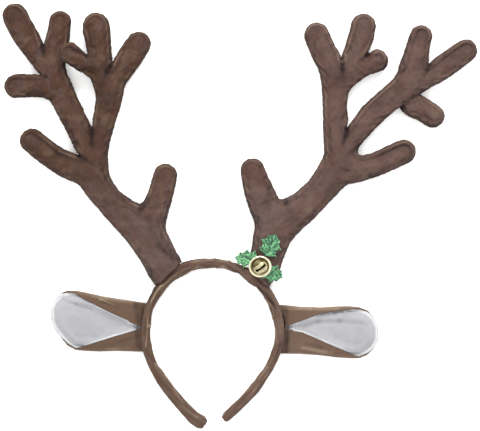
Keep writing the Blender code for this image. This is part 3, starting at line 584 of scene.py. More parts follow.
# x, y, radius, height in mm: places where the stuffing is packed tighter
leftSwells = [(-143.0, 124.0, 9, 1.2), (-66.0, -8.0, 12, 1.0), (-96.0, 60.0, 16, 0.8),
              (-104.0, 100.0, 14, 0.5), (-82.0, 12.0, 7, 0.8)]
rightSwells = [(14.0, -6.0, 14, 1.0), (30.0, 24.0, 9, 1.2), (72.0, 48.0, 14, 0.8),
               (142.0, 133.0, 8, 1.2), (155.0, 62.0, 10, 0.6), (100.0, 34.0, 12, 0.6),
               (46.0, -22.0, 12, 0.8)]
# x, y, radius, then the shift in x and y, in mm: cloth that is folded under
leftTucks = [(-52.0, -40.0, 6, 1.2, 0.6)]
rightTucks = [(31.0, -62.0, 8, -3.2, 1.0)]


def cutFork(piece, tipX, tipY, leftX, leftY, rightX, rightY):
    # an hourglass wedge, narrowest at the height of the seam, clear of both limbs at its open end
    tip = Vector((tipX, tipY, 0)) * mm
    left, right = Vector((leftX, leftY, 0)) * mm, Vector((rightX, rightY, 0)) * mm
    middle = (left + right) / 2
    left += (middle - left).normalized() * antlers["clear"]
    right += (middle - right).normalized() * antlers["clear"]
    if (right - left).cross(tip - middle).z < 0:
        left, right = right, left
    tip += (tip - middle).normalized() * antlers["pastTip"]
    deselectAll()
    bpy.ops.mesh.primitive_cylinder_add(vertices=3, radius=1, depth=antlers["forkDepth"],
                                        location=(0, 0, 0))
    wedge = bpy.context.object
    bpy.ops.object.mode_set(mode="EDIT")
    bpy.ops.mesh.select_all(action="SELECT")
    bpy.ops.mesh.bisect(plane_co=(0, 0, 0), plane_no=(0, 0, 1))
    waist = antlers["waist"]
    bpy.ops.transform.resize(value=(waist, waist, 1))
    bpy.ops.object.mode_set(mode="OBJECT")
    # the waist of the wedge, an equal-sided triangle, goes to the three points
    across = (right - left) / (2 * waist * math.sin(math.radians(60)))
    along = (tip - middle) / (1.5 * waist)
    centre = tip - along * waist
    wedge.data.transform(Matrix(((across.x, along.x, 0, centre.x),
                                 (across.y, along.y, 0, centre.y),
                                 (0, 0, 1, antlers["seamHeight"]),
                                 (0, 0, 0, 1))))
    cutWith(piece, wedge)


def makeAntler(node, name, forks, creases, tips, swells, tucks, seed):
    piece = copyOfNode(node, name)
    for fork in forks:
        cutFork(piece, *fork)
    seams, outwards = seamSamples(piece)
    remesh(piece, antlers["voxel"])
    points, normals = pointsOf(piece), normalsOf(piece)
    room = roomBeside(points, ["band"], *antlers["stillBy"])
    points = points + normals * (antlers["fuller"] * room)[:, None]
    putPoints(piece, points)
    nearest = nearestOf(points, seams)[0]
    toSeam = np.linalg.norm(points - seams[nearest], axis=1)
    held = 1 - smoothStep(toSeam, antlers["heldTo"], antlers["freeFrom"])
    stuff(piece, np.maximum(held, 1 - room), antlers, room)
    subdivideOnce(piece)
    points, normals = pointsOf(piece), normalsOf(piece)
    room = roomBeside(points, ["band"], *antlers["reliefBy"])
    nearest = nearestOf(points, seams)[0]
    fromSeam = points - seams[nearest]
    toSeam = np.linalg.norm(fromSeam, axis=1)
    inside = np.abs(np.sum(fromSeam * outwards[nearest], axis=1))
    inside = np.maximum(inside, np.linalg.norm(fromSeam[:, :2], axis=1) * 0.9)
    facing = smoothStep(np.abs(normals[:, 2]), 0.05, 0.5)
    # the dip behind the rim is deeper at the ends of the tines and wanders elsewhere
    stronger = 0.75 + 0.5 * noiseOver(seams[nearest], 45, seed)
    # painted shade: dark blotches behind the rim at the tine ends
    tipShade = np.zeros(len(points))
    for x, y, radius, more in tips:
        far = farFrom(points, x, y)
        stronger += more * hump(far, 0, radius * mm)
        tipShade += 0.34 * more * hump(far, 0, 0.6 * radius * mm)
    # an edge that faces the lamp stands up in a roll, the others turn under
    upward = 0.5 + 0.5 * outwards[nearest][:, 1]
    stronger *= 0.30 + upward
    tipShade *= hump(inside, 6.0 * mm, 3.2 * mm) * (0.35 + 0.65 * upward)
    rim = antlers["rimHigh"] * hump(inside, antlers["rimAt"], 1.2 * mm) * facing \
        * (0.6 + 0.7 * upward)
    dip = antlers["dipDeep"] * hump(inside, antlers["dipAt"], 1.35 * mm) * facing * stronger
    seam = antlers["seamDeep"] * hump(toSeam, 0, 0.75 * mm)
    lumps = antlers["lumpy"] * noiseOver(points, 70, seed + 5)
    for x, y, radius, high in swells:
        lumps += high * mm * hump(farFrom(points, x, y), 0, radius * mm)
    gathers = antlers["pucker"] * noiseOver(seams[nearest], 260, seed + 9) \
        * hump(toSeam, 2.2 * mm, 2.6 * mm)
    sunk = pressStrokes(points, normals, creases)
    height = (rim - dip + lumps + gathers - seam) * room - sunk * np.maximum(room, 0.35)
    points = points + normals * height[:, None]
    for x, y, radius, moveX, moveY in tucks:
        near = hump(farFrom(points, x, y), 0, radius * mm)
        points[:, :2] += near[:, None] * np.array([moveX, moveY]) * mm
    putPoints(piece, restOnTable(points))
    # painted shade on the sides, more on edges turned from the lamp, and in the creases, the dip
    # and the tine ends; painted highlight along the rim's crest, most on edges that face the lamp
    side = smoothStep(np.abs(normals[:, 2]), 0.93, 0.35)
    ragged = np.clip(0.85 + 0.9 * noiseOver(seams[nearest], 90, seed + 12), 0, 1.4)
    broken = smoothStep(noiseOver(seams[nearest], 60, seed + 15), -0.30, 0.35)
    lower = smoothStep(outwards[nearest][:, 1], 0.75, -0.1)
    keepValues(piece, "crease", np.clip(
        sunk / (2.4 * mm) + 0.45 * dip / mm + tipShade + (0.64 + 0.42 * lower) * side * ragged,
        0, 1))
    keepValues(piece, "rub", np.clip(
        0.42 * hump(inside, 2.3 * mm, 0.5 * mm) * facing * broken * (0.45 + 0.6 * upward)
        * (normals[:, 2] > 0) * (1 - smoothStep(sunk, 0.3 * mm, 0.9 * mm)), 0, 1))
    dress(piece, node, [brownPlush])
    print(name, len(piece.data.polygons), "faces")


makeAntler("antler_left", "leftAntlerPlush", leftForks, leftCreases, leftTips, leftSwells,
           leftTucks, 3)
makeAntler("antler_right", "rightAntlerPlush", rightForks, rightCreases, rightTips, rightSwells,
           rightTucks, 8)

# the headband: a hoop in a sleeve of the same plush, twisted and gathered as it was pulled on

band = {
    "voxel": 1.0 * mm,
    "stillBy": (0.3 * mm, 3 * mm),      # where the antlers' feet cover it
    "reliefBy": (0.2 * mm, 1.6 * mm),
    "folds": 0.75 * mm,
    "wrinkles": 0.46 * mm,
    "twistLength": 0.075,      # along the hoop for each radian that the folds turn
    "wander": 1.1 * mm,        # how far the folds stray from straight lines
    "seamDeep": 0.45 * mm,
    "seamWide": 0.6 * mm,
    "middleHeight": 7.5 * mm,
    "radius": 5.5 * mm,
    "stretch": 18.0,
    "bend": 0.3,
    "spare": 0.02,
    "pressure": 2.5,
    "mostMove": 0.8 * mm,
    # the middle of the hoop in mm, from the left end to the right one
    "middle": [(-32.1, -183.8), (-41.2, -177.2), (-55.5, -162.0), (-69.2, -142.9),
               (-79.8, -120.9), (-82.4, -109.4), (-82.4, -95.4), (-76.4, -73.4),
               (-62.5, -54.1), (-51.7, -46.6), (-32.4, -42.4), (-10.4, -43.7), (10.0, -53.2),
               (24.8, -68.5), (34.0, -90.4), (34.9, -100.6), (29.6, -124.0), (25.2, -133.6),
               (12.5, -152.1), (-3.4, -168.9), (-13.2, -179.0)],
}
# x0, y0, x1, y1, width, depth in mm: minus stands up as a fold, plus sinks beside it
bandLines = [
    (-82.3, -114, -80.6, -92, 0.59, -0.47), (-80.6, -92, -78.2, -74.4, 0.59, -0.47),
    (-78.2, -74.4, -69.5, -61.5, 0.66, -0.59), (-69.5, -61.5, -56, -52, 0.66, -0.47),
    (-80.8, -74, -71.8, -60, 1.20, 0.55), (-71.8, -60, -58.5, -50, 1.20, 0.50),
    (-52.4, -52.4, -37.7, -45.1, 0.66, -0.51), (-37.7, -45.1, -27.7, -45.8, 0.59, -0.47),
    (-24.5, -45.1, -14.5, -44.3, 0.59, -0.51), (-14.5, -44.3, -5.7, -48.8, 0.59, -0.47),
    (-37.7, -47.6, -26, -48.2, 1.10, 0.65), (-24, -47.4, -13, -46.9, 1.10, 0.60),
    (-2.5, -49.5, 6.3, -58.3, 1.10, 0.60), (6.3, -58.3, 11.9, -60.3, 1.10, 0.50),
    (11.9, -61.2, 28.3, -80.3, 0.59, -0.51), (28.3, -80.3, 29.5, -92, 0.59, -0.42),
    (14.5, -60.5, 30.8, -80, 1.20, 0.65), (31.2, -100.8, 32.7, -111, 0.59, -0.42),
    (32.7, -115.5, 23.9, -133.1, 0.66, -0.42), (23.9, -133.1, 16.3, -143, 0.66, -0.42),
    (35.2, -112, 27, -131, 1.30, 0.55), (25.1, -137.4, 11.9, -153.6, 0.59, -0.42),
    (11.9, -153.6, -1.3, -168.3, 0.59, -0.38), (-74.4, -129.8, -64.1, -143, 0.66, -0.47),
    (-64.1, -143, -48, -168.3, 0.59, -0.42), (-48, -168.3, -37.7, -177.1, 0.59, -0.38),
    (-70.5, -132, -60.5, -145.5, 1.20, 0.50), (-78.5, -95.5, -80.5, -97.5, 0.92, -0.77),
    (-43.5, -40.8, -24, -38.6, 0.70, -0.40), (-24, -38.6, -8.5, -40.8, 0.70, -0.35),
]
# x, y, radius, height in mm: the sleeve bulges or is pulled in
bandBulges = [(-50.6, -51.5, 6, 0.9), (9.2, -58.5, 7, 1.1), (31.0, -92.0, 8, 0.7),
              (-77.0, -85.0, 8, -0.6), (-72.0, -127.0, 8, -0.6), (24.0, -136.0, 10, -0.7),
              (-71.5, -63.5, 7, 0.8)]


def makeBand():
    piece = copyOfNode("band", "bandSleeve")
    remesh(piece, band["voxel"])
    room = roomBeside(pointsOf(piece), ["antler_left", "antler_right"], *band["stillBy"])
    stuff(piece, np.where(room < 0.5, 1.0, 0.0), band, room)
    subdivideOnce(piece)
    points, normals = pointsOf(piece), normalsOf(piece)
    # how far along the hoop and how far round its section each point is
    corners = np.array(band["middle"]) * mm
    path, walked = [], []
    total = 0.0
    for a, b in zip(corners, corners[1:]):
        length = np.linalg.norm(b - a)
        count = int(length / mm) + 1
        for step in range(count):
            path.append(a + (b - a) * step / count)
            walked.append(total + length * step / count)
        total += length
    path, walked = np.array(path), np.array(walked)
    near = nearestOf(points * flatten, np.column_stack([path, np.zeros(len(path))]))[0]
    heading = np.gradient(path, axis=0)
    heading /= np.linalg.norm(heading, axis=1)[:, None]
    outward = np.stack([-heading[:, 1], heading[:, 0]], axis=1)
    offset = points[:, :2] - path[near]
    across = np.sum(offset * outward[near], axis=1)
    turn = np.arctan2(points[:, 2] - band["middleHeight"], across)
    along = walked[near]
    # long folds that wind slowly round the sleeve
    twist = turn + along / band["twistLength"]
    lanes = np.stack([np.cos(twist) * 1.1, np.sin(twist) * 1.1, along * 22], axis=1)
    folds = np.array([noise.noise(Vector(p)) for p in lanes * 1.6])
    small = np.array([noise.noise(Vector((p[0] * 3.3, p[1] * 3.3, p[2] * 2.6))) for p in lanes])
    room = roomBeside(points, ["antler_left", "antler_right"], *band["reliefBy"])
    wander = points.copy()
    for way, seed in ((0, 41), (1, 43)):
        wander[:, way] += band["wander"] * noiseOver(points * flatten, 75, seed)
    lines = pressStrokes(wander, normals, bandLines, fading=False)
    lines *= np.clip(0.85 + 1.1 * noiseOver(points, 130, 45), 0.1, 1.5)
    # the seam of the sleeve runs down the inner side
    seamTurn = math.pi * 0.86 + 0.35 * np.sin(along / 0.031)
    aroundSeam = (turn - seamTurn + math.pi) % (2 * math.pi) - math.pi
    toSeam = np.abs(aroundSeam) * band["radius"]
    seam = band["seamDeep"] * hump(toSeam, 0, band["seamWide"])
    bulge = np.zeros(len(points))
    for x, y, radius, high in bandBulges:
        bulge += high * mm * hump(farFrom(points, x, y), 0, radius * mm)
    height = (band["folds"] * (1 - 2 * np.abs(folds)) * 0.9 + band["wrinkles"] * small
              - 0.3 * band["folds"] + bulge - lines - seam) * room
    putPoints(piece, restOnTable(points + normals * height[:, None]))
    # painted shade in the pressed lines, along the seam, in the fold valleys and on the outer
    # side; painted highlight on the raised folds, the fold ridges and a line beside the seam
    outerSideShade = smoothStep(np.cos(turn), 0.45, 0.95)
    ridgeHighlight = smoothStep(1 - 2 * np.abs(folds), 0.45, 0.95)
    valleyShade = smoothStep(1 - 2 * np.abs(folds), 0.2, -0.3)
    keepValues(piece, "crease", np.clip(np.maximum(lines, 0) / (0.9 * mm) + 0.5 * seam / mm
                                        + 0.38 * outerSideShade + 0.30 * valleyShade, 0, 1))
    keepValues(piece, "rub", np.clip(np.maximum(-lines, 0) / (0.75 * mm) + 0.12 * ridgeHighlight
                                     + 0.35 * hump(toSeam, 1.2 * mm, 0.5 * mm), 0, 1))
    dress(piece, "band", [sleevePlush])
    print("bandSleeve", len(piece.data.polygons), "faces")


makeBand()

# the ears: a plush flap folded over each long edge of a white lining

ears = {
    "voxel": 0.6 * mm,
    "stillBy": (0.3 * mm, 4 * mm),      # beside the sleeve that the ear is sewn to
    "wavy": 0.35 * mm,
    "pushedIn": 0.9 * mm,      # the base, towards the sleeve
    "hem": 2.5 * mm,           # brown cloth that turns in before the white shows
    "whiteAbove": 3.6 * mm,
    "liningVoxel": 0.5 * mm,
    "liningSwell": 3.0 * mm,
    "byFlap": 1.9 * mm,        # the lining stands up along the edge of the flap
    "underFlap": 0.3 * mm,     # and stays this far below it
    "spill": 1.1 * mm,         # its outer end bulges over the rim
}
leftEarCreases = [
    (-123.6, -73.8, -111.3, -79.6, 0.9, -0.7), (-121.0, -76.2, -109.0, -81.5, 1.3, 0.6),
    (-130.0, -71.6, -104.0, -74.8, 1.3, -0.35), (-104.0, -74.8, -93.0, -76.6, 1.2, -0.30),
    (-118.0, -117.6, -98.0, -116.2, 1.3, -0.32), (-108.0, -111.0, -96.0, -108.0, 1.6, 0.35),
    (-92.0, -78.0, -90.0, -92.0, 2.0, 0.6), (-91.0, -100.0, -90.0, -115.0, 2.0, 0.6),
]
rightEarCreases = [
    (42.0, -82.6, 62.0, -82.2, 1.3, -0.35), (62.0, -82.2, 86.0, -81.6, 1.3, -0.38),
    (55.0, -117.4, 81.0, -121.0, 1.3, -0.45), (58.0, -113.6, 72.0, -117.0, 1.4, 0.4),
    (40.0, -84.0, 39.0, -97.0, 2.0, 0.6), (41.0, -103.0, 40.5, -121.0, 2.0, 0.7),
]
# x0, y0, x1, y1, width, depth in mm: soft folds in the linings
leftLiningCreases = [
    (-156.2, -74.4, -144.8, -78.8, 1.7, 0.75), (-144.8, -78.8, -131.3, -83.3, 1.7, 0.70),
    (-144.8, -106.0, -127.2, -107.8, 2.2, 0.35), (-127.2, -107.8, -112.0, -103.4, 2.2, 0.35),
]
rightLiningCreases = [
    (55.9, -98.6, 69.1, -94.2, 1.9, 0.75), (69.1, -94.2, 88.0, -93.9, 2.2, 0.95),
    (88.0, -93.9, 108.0, -95.4, 2.2, 0.70), (92.0, -112.0, 106.0, -113.5, 2.4, 0.25),
]


def makeEarBack(node, name, creases, edgeShift, seed):
    piece = copyOfNode(node, name)
    remesh(piece, ears["voxel"])
    points, normals = pointsOf(piece), normalsOf(piece)
    room = roomBeside(points, ["band"], *ears["stillBy"])
    wavy = ears["wavy"] * noiseOver(points * np.array([1, 1, 0.2]), 90, seed) \
        + 0.12 * mm * noiseOver(points, 260, seed + 2)
    wander = points + 0.8 * mm * noiseOver(points, 70, seed + 6)[:, None]
    sunk = pressStrokes(wander, normals, creases, fading=False)
    sunk *= np.clip(0.9 + noiseOver(points, 140, seed + 7), 0.1, 1.5)
    upper = smoothStep(points[:, 2], 4 * mm, 7 * mm)
    shift = np.zeros_like(points)
    shift[:, 2] = wavy * room * upper
    low, high = points.min(0), points.max(0)
    base = low[0] if "right" in name else high[0]
    fromBase = np.abs(points[:, 0] - base)
    # the free edges of the flaps: mm from the base, then how far the edge moves there
    flap = smoothStep(points[:, 2], 5.5 * mm, 8 * mm)
    middleY = (low[1] + high[1]) / 2
    for rows, chosen in zip(edgeShift, (points[:, 1] > middleY, points[:, 1] <= middleY)):
        stops, moves = np.array(rows).T * mm
        inner = 1 - smoothStep(np.abs(points[:, 1] - middleY), 0.55 * (high[1] - middleY),
                               0.95 * (high[1] - middleY))
        shift[:, 1] += np.interp(fromBase, stops, moves) * flap * chosen * inner
    # the base is sewn against the sleeve, so nothing is seen between them
    towards = -1 if "right" in name else 1
    shift[:, 0] += towards * ears["pushedIn"] * hump(fromBase, 0, 2.5 * mm)
    putPoints(piece, restOnTable(points + shift - normals * (sunk * room * upper)[:, None]))
    # painted highlight along the outer folds and raised strokes, painted shade where the free edge
    # turns under, in the pressed strokes and by the base at the sleeve
    facing = normals[:, 1] * np.sign(points[:, 1] - middleY)
    foldHighlight = smoothStep(facing, 0.25, 0.9) * smoothStep(normals[:, 2], -0.4, 0.2)
    underShade = smoothStep(-facing, 0.10, 0.55) * smoothStep(normals[:, 2], -0.05, 0.25) * flap
    baseShade = hump(fromBase, 0, 6.0 * mm) * (0.85 + 0.5 * noiseOver(points, 60, seed + 8))
    keepValues(piece, "crease", np.clip(np.maximum(sunk, 0) / (1.4 * mm) + 0.62 * baseShade
                                        + 0.8 * underShade, 0, 1))
    keepValues(piece, "rub", np.clip(0.42 * foldHighlight + np.maximum(-sunk, 0) / (0.75 * mm), 0, 1))
    dress(piece, node, [earPlush, whitePlush])
    # the flap is lined too, and the lining just shows along its free edge
    for face in piece.data.polygons:
        side = 1 if face.center.y > middleY else -1
        inHem = abs(face.center.y - middleY) >= (high[1] - middleY) - ears["hem"]
        if face.center.z > ears["whiteAbove"] and not inHem and face.normal.z < 0.05 \
                and (face.normal.y * side < -0.2 or face.normal.z < -0.3):
            face.material_index = 1
    print(name, len(piece.data.polygons), "faces")
    return piece


def makeEarLining(node, name, flap, creases, seed):
    piece = copyOfNode(node, name)
    remesh(piece, ears["liningVoxel"])
    points, normals = pointsOf(piece), normalsOf(piece)
    low, high = points.min(0), points.max(0)
    # distance from the rim of the lining, seen from the front
    flat = points * flatten
    inside = nearestOf(flat, flat[np.abs(normals[:, 2]) < 0.35])[1]
    # where the flap lies over the lining, and how far each point is from the flap's edge
    cover = surfaceOf(flap)
    up = Vector((0, 0, 1))
    room = np.full(len(points), 1.0)
    for index in np.nonzero(normals[:, 2] > 0)[0]:
        hit = cover.ray_cast(Vector(points[index]), up)[0]
        if hit:
            room[index] = hit.z - points[index][2]
    fromFlap = nearestOf(flat, flat[room < 0.5])[1]
    face = smoothStep(normals[:, 2], 0.0, 0.5)
    base = low[0] if "right" in name else high[0]
    share = np.abs(points[:, 0] - base) / (high[0] - low[0])
    stuffed = ears["liningSwell"] * smoothStep(inside, 0.3 * mm, 8 * mm)
    raised = ears["byFlap"] * hump(fromFlap, 0, 4.2 * mm) * smoothStep(inside, 1.0 * mm, 4 * mm)
    sunk = pressStrokes(points, normals, creases, fading=False)
    soft = 0.22 * mm * noiseOver(points, 110, seed + 3)
    height = (stuffed + raised - sunk + soft) * face
    height = np.minimum(height, np.maximum(room - ears["underFlap"], 0))
    outer = ears["spill"] * hump(inside, 0, 1.2 * mm) * smoothStep(share, 0.52, 0.72)
    putPoints(piece, points + normals * height[:, None] + normals * flatten * outer[:, None])
    # painted shade in the lining's folds; painted highlight round its rim and along the flap's
    # edge
    keepValues(piece, "crease", np.clip(0.26 * sunk / mm * face, 0, 1))
    edge = hump(fromFlap, 0.5 * mm, 0.9 * mm) * (0.75 + 0.6 * noiseOver(points, 120, seed + 5))
    keepValues(piece, "rub", np.clip((0.55 * hump(inside, 0.8 * mm, 1.0 * mm) + 0.9 * edge) * face,
                                     0, 1))
    dress(piece, node, [whitePlush])
    print(name, len(piece.data.polygons), "faces")


leftFlap = makeEarBack(
    "ear_left_back", "leftEarFlap", leftEarCreases,
    [[(0, 0.0), (12, 0.5), (45, 0.9), (62, -0.8), (80, -1.8)],
     [(0, 0.0), (20, -0.6), (60, -0.4), (80, 0.0)]],
    11)
rightFlap = makeEarBack(
    "ear_right_back", "rightEarFlap", rightEarCreases,
    [[(0, 0.6), (10, 2.0), (30, 1.6), (50, 0.4), (80, -0.6)],
     [(0, 0.8), (15, 1.1), (60, 1.2), (80, 0.6)]],
    14)
makeEarLining("ear_left_lining", "leftEarLining", leftFlap, leftLiningCreases, 21)
makeEarLining("ear_right_lining", "rightEarLining", rightFlap, rightLiningCreases, 24)

# the holly: three leaves of foam sheet covered in green glitter

holly = {
    "voxel": 0.36 * mm,
    "midrib": 0.42 * mm,
    "sideVein": 0.26 * mm,
    "grain": 0.10 * mm,
    "veinsAt": (-6.0, -2.6, 0.8, 4.0),      # mm from the middle, along the midrib
    "blunting": 22,                         # rounds of smoothing for the teeth
    # how much wider than the solid, shifted by x, y in mm, and how much paler
    "top": (1.28, -1.7, 0.8, 0.0), "left": (1.22, 0.4, 1.1, 0.34), "right": (1.20, 0.0, 2.0, 0.10),
    "dark": (0.0050, 0.042, 0.016, 1),
    "green": (0.031, 0.152, 0.062, 1),
    "flake": (0.11, 0.31, 0.14, 1),
    "gap": (0.005, 0.035, 0.016, 1),
    "glint": (0.22, 0.48, 0.27, 1),
    "edgeHighlightAndPaleStreaks": (0.135, 0.365, 0.165, 1),
    "veinShadeAndDarkStreaks": (0.006, 0.040, 0.018, 1),
}


def makeGlitter():
    material, make, links, shader, place = startMaterial("greenGlitter")
    flakes = make("ShaderNodeTexVoronoi", None, Vector=place, Scale=1500.0)
    coarse = make("ShaderNodeTexVoronoi", None, Vector=place, Scale=760.0)
    tint = make("ShaderNodeSeparateColor", None, Color=flakes.outputs["Color"])
    big = make("ShaderNodeSeparateColor", None, Color=coarse.outputs["Color"])
    tone = noiseAt(make, place, 240.0, 3.0, 0.6)
    colour = mixColours(make, spread(make, tone, 0.42, 0.57), holly["dark"], holly["green"])
    for speck, low, high, most, shade in (
            (tint.outputs[0], 0.66, 0.97, 1.0, "flake"), (tint.outputs[1], 0.70, 0.98, 0.8, "gap"),
            (big.outputs[2], 0.80, 0.98, 0.7, "glint")):
        colour = mixColours(make, spread(make, speck, low, high, 0.0, most), colour, holly[shade])
    # painted highlight on the leaf edges mixed with pale streaks, and painted shade in the midrib
    # and veins mixed with dark streaks
    colour = mixColours(make, kept(make, "rub"), colour, holly["edgeHighlightAndPaleStreaks"])
    colour = mixColours(make, kept(make, "crease"), colour, holly["veinShadeAndDarkStreaks"])
    links.new(colour, shader.inputs["Base Color"])
    addBump(make, shader, 0.9, 0.5 * mm, calculate(
        make, "ADD", tint.outputs[2], calculate(make, "MULTIPLY", big.outputs[0], 0.6)))
    links.new(spread(make, tint.outputs[1], 0.0, 1.0, 0.22, 0.6), shader.inputs["Roughness"])
    shader.inputs["Metallic"].default_value = 0.35
    shader.inputs["Specular IOR Level"].default_value = 0.6
    return material


greenGlitter = makeGlitter()


def makeLeaf(node, name, which, seed):
    piece = copyOfNode(node, name)
    remesh(piece, holly["voxel"])
    blunt = piece.modifiers.new("blunt", "SMOOTH")
    blunt.factor, blunt.iterations = 0.5, holly["blunting"]
    bpy.ops.object.modifier_apply(modifier=blunt.name)
    points, normals = pointsOf(piece), normalsOf(piece)
    wider, shiftX, shiftY, paler = holly[which]
    low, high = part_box("bell_front")
    hub = np.array([(low.x + high.x) / 2, (low.y + high.y) / 2])
    middle = points[:, :2].mean(0)
    ahead = (middle - hub) / np.linalg.norm(middle - hub)
    aside = np.array([-ahead[1], ahead[0]])
    u = (points[:, :2] - middle) @ ahead / mm
    v = (points[:, :2] - middle) @ aside / mm
    points[:, :2] += (v * mm * (wider - 1))[:, None] * aside + np.array([shiftX, shiftY]) * mm
    v = v * wider
    face = smoothStep(normals[:, 2], 0.1, 0.6)
    rib = hump(v, 0, 0.45)
    veins = np.zeros(len(points))
    for start in holly["veinsAt"]:
        veins = np.maximum(veins, hump(u - start - 0.75 * np.abs(v), 0, 0.42)
                           * smoothStep(np.abs(v), 0.2, 0.8))
    grain = noiseOver(points, 900, seed)
    puff = noiseOver(points, 240, seed + 4)
    height = (-holly["midrib"] * rib - holly["sideVein"] * veins + holly["grain"] * grain
              + 0.25 * mm * puff) * face + holly["grain"] * 0.5 * grain
    putPoints(piece, points + normals * height[:, None])
    # painted highlight on the leaf edges; painted shade in the midrib and side veins
    edge = smoothStep(normals[:, 2], 0.75, 0.25)
    # light and dark streaks that run back from the midrib
    swept = (u - 0.75 * np.abs(v)) * 0.95
    streak = np.array([noise.noise(Vector((a, b * 0.45, seed))) for a, b in zip(swept, v)])
    streak += 0.5 * noiseOver(points, 1100, seed + 2)
    keepValues(piece, "crease", np.clip(
        (0.6 * rib + 0.35 * veins + 0.85 * smoothStep(streak, -0.02, -0.24)) * face, 0, 1))
    keepValues(piece, "rub", np.clip(
        0.8 * edge + (0.75 * smoothStep(streak, 0.12, 0.32) + paler) * face, 0, 1))
    dress(piece, node, [greenGlitter])


for number, leaf in enumerate(("top", "left", "right")):
    makeLeaf("holly_leaf_" + leaf, leaf + "HollyLeaf", leaf, 31 + number)
print("holly leaves")

# the bell: two turned brass shells with a rolled rim, a slot and a loose ball

jingleBell = {
    "rim": 9.7, "dome": 6.7, "bowl": 8.8, "wall": 0.5,      # mm
    "tilt": 17, "lift": 1.2,             # degrees, and mm towards the antler
    "slotLength": 8.6, "slotWidth": 1.9, "slotAngle": 35, "slotEnds": 1.35, "slotShift": 0.9,
    "barAt": 3.0, "barHalf": 1.0,        # a painted dark reflection beside the slot
    "sharpOver": 35,                     # degrees between faces
    "brass": (0.39, 0.345, 0.21, 1),
    "tarnish": (0.25, 0.215, 0.125, 1),
    "scuffed": (0.56, 0.52, 0.37, 1),
    "grooveShade": (0.05, 0.038, 0.016, 1),
    "rimHighlight": (0.80, 0.76, 0.58, 1),
    "slotShade": (0.060, 0.046, 0.018, 1),
    "slotShadowLine": (0.012, 0.009, 0.005, 1),
    "pea": (0.22, 0.20, 0.17, 1),
    "peaRust": (0.08, 0.07, 0.06, 1),
}


def makeBrass(name, slotShade):
    material, make, links, shader, place = startMaterial(name)
    stain = noiseAt(make, place, 320.0, 4.0, 0.6)
    scuff = noiseAt(make, make("ShaderNodeMapping", None, Vector=place, Rotation=(0, 0, 0.9),
                               Scale=(1, 0.12, 1)).outputs[0], 2600.0, 2.0, 0.6)
    colour = mixColours(make, spread(make, stain, 0.35, 0.68), jingleBell["brass"],
                        jingleBell["tarnish"])
    colour = mixColours(make, spread(make, scuff, 0.55, 0.8, 0.0, 0.4), colour,
                        jingleBell["scuffed"])
    # painted shade in the groove and painted highlight on the rim
    colour = mixColours(make, kept(make, "crease"), colour, jingleBell["grooveShade"])
    colour = mixColours(make, kept(make, "rub"), colour, jingleBell["rimHighlight"])
    if slotShade:
        # the band beside the slot is a painted dark reflection, duller than the dome, with a
        # painted shadow line along its far edge
        low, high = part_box("bell_front")
        middle = ((low.x + high.x) / 2, (low.y + high.y) / 2 + jingleBell["lift"] * mm, 0)
        aligned = make("ShaderNodeMapping", {"vector_type": "TEXTURE"}, Vector=place,
                       Location=middle, Rotation=(0, 0, math.radians(jingleBell["slotAngle"])))
        apart = make("ShaderNodeSeparateXYZ", None, Vector=aligned.outputs[0])
        barAt, barHalf = jingleBell["barAt"] * mm, jingleBell["barHalf"] * mm
        bar = spread(make, apartFrom(make, apart.outputs[1], barAt), barHalf, 0.6 * mm)
        slotShadowLine = spread(make, apartFrom(make, apart.outputs[1], barAt + barHalf + 0.3 * mm),
                       0.42 * mm, 0.15 * mm)
        reach = spread(make, calculate(make, "ABSOLUTE", apart.outputs[0]), 5.6 * mm, 4.8 * mm)
        squares = [calculate(make, "POWER", apart.outputs[i], 2.0) for i in (0, 1)]
        dome = jingleBell["dome"] * mm
        onDome = spread(make, calculate(make, "ADD", *squares), dome ** 2, (dome - 0.5 * mm) ** 2)
        reach = calculate(make, "MULTIPLY", reach, onDome)
        colour = mixColours(make, calculate(make, "MULTIPLY", bar, reach), colour,
                            jingleBell["slotShade"])
        colour = mixColours(make, calculate(make, "MULTIPLY", slotShadowLine, reach), colour,
                            jingleBell["slotShadowLine"])
    links.new(colour, shader.inputs["Base Color"])
    links.new(spread(make, stain, 0.3, 0.75, 0.22, 0.38), shader.inputs["Roughness"])
    addBump(make, shader, 0.12, 0.2 * mm, scuff)
    shader.inputs["Metallic"].default_value = 1.0
    return material


goldBrass = makeBrass("goldBrass", False)
goldSlotShade = makeBrass("goldBrassSlotShade", True)


def turned(name, rings, segments=72):
    # a ring of points is drawn out and resized along the profile, from pole to pole
    deselectAll()
    radius, height = rings[0]
    bpy.ops.mesh.primitive_circle_add(vertices=segments, radius=radius * mm,
                                      location=(0, 0, height * mm), fill_type="NGON")
    piece = bpy.context.object
    piece.name = name
    bpy.ops.object.transform_apply(location=True, rotation=True, scale=True)
    bpy.ops.object.mode_set(mode="EDIT")
    bpy.ops.mesh.select_all(action="SELECT")
    for (r0, z0), (r1, z1) in zip(rings, rings[1:]):
        bpy.ops.mesh.extrude_region_move(TRANSFORM_OT_translate={"value": (0, 0, (z1 - z0) * mm)})
        bpy.ops.transform.resize(value=(r1 / r0, r1 / r0, 1))
    bpy.ops.mesh.select_all(action="SELECT")
    bpy.ops.mesh.normals_make_consistent(inside=False)
    bpy.ops.object.mode_set(mode="OBJECT")
    return piece


def arc(radius, first, last, steps, lift=0.0, sign=1):
    # radius and height of each ring in mm, from the first angle off the pole to the last one
    return [(max(radius * math.sin(math.radians(a)), 0.02),
             sign * (lift + radius * math.cos(math.radians(a))))
            for a in np.linspace(first, last, steps)]


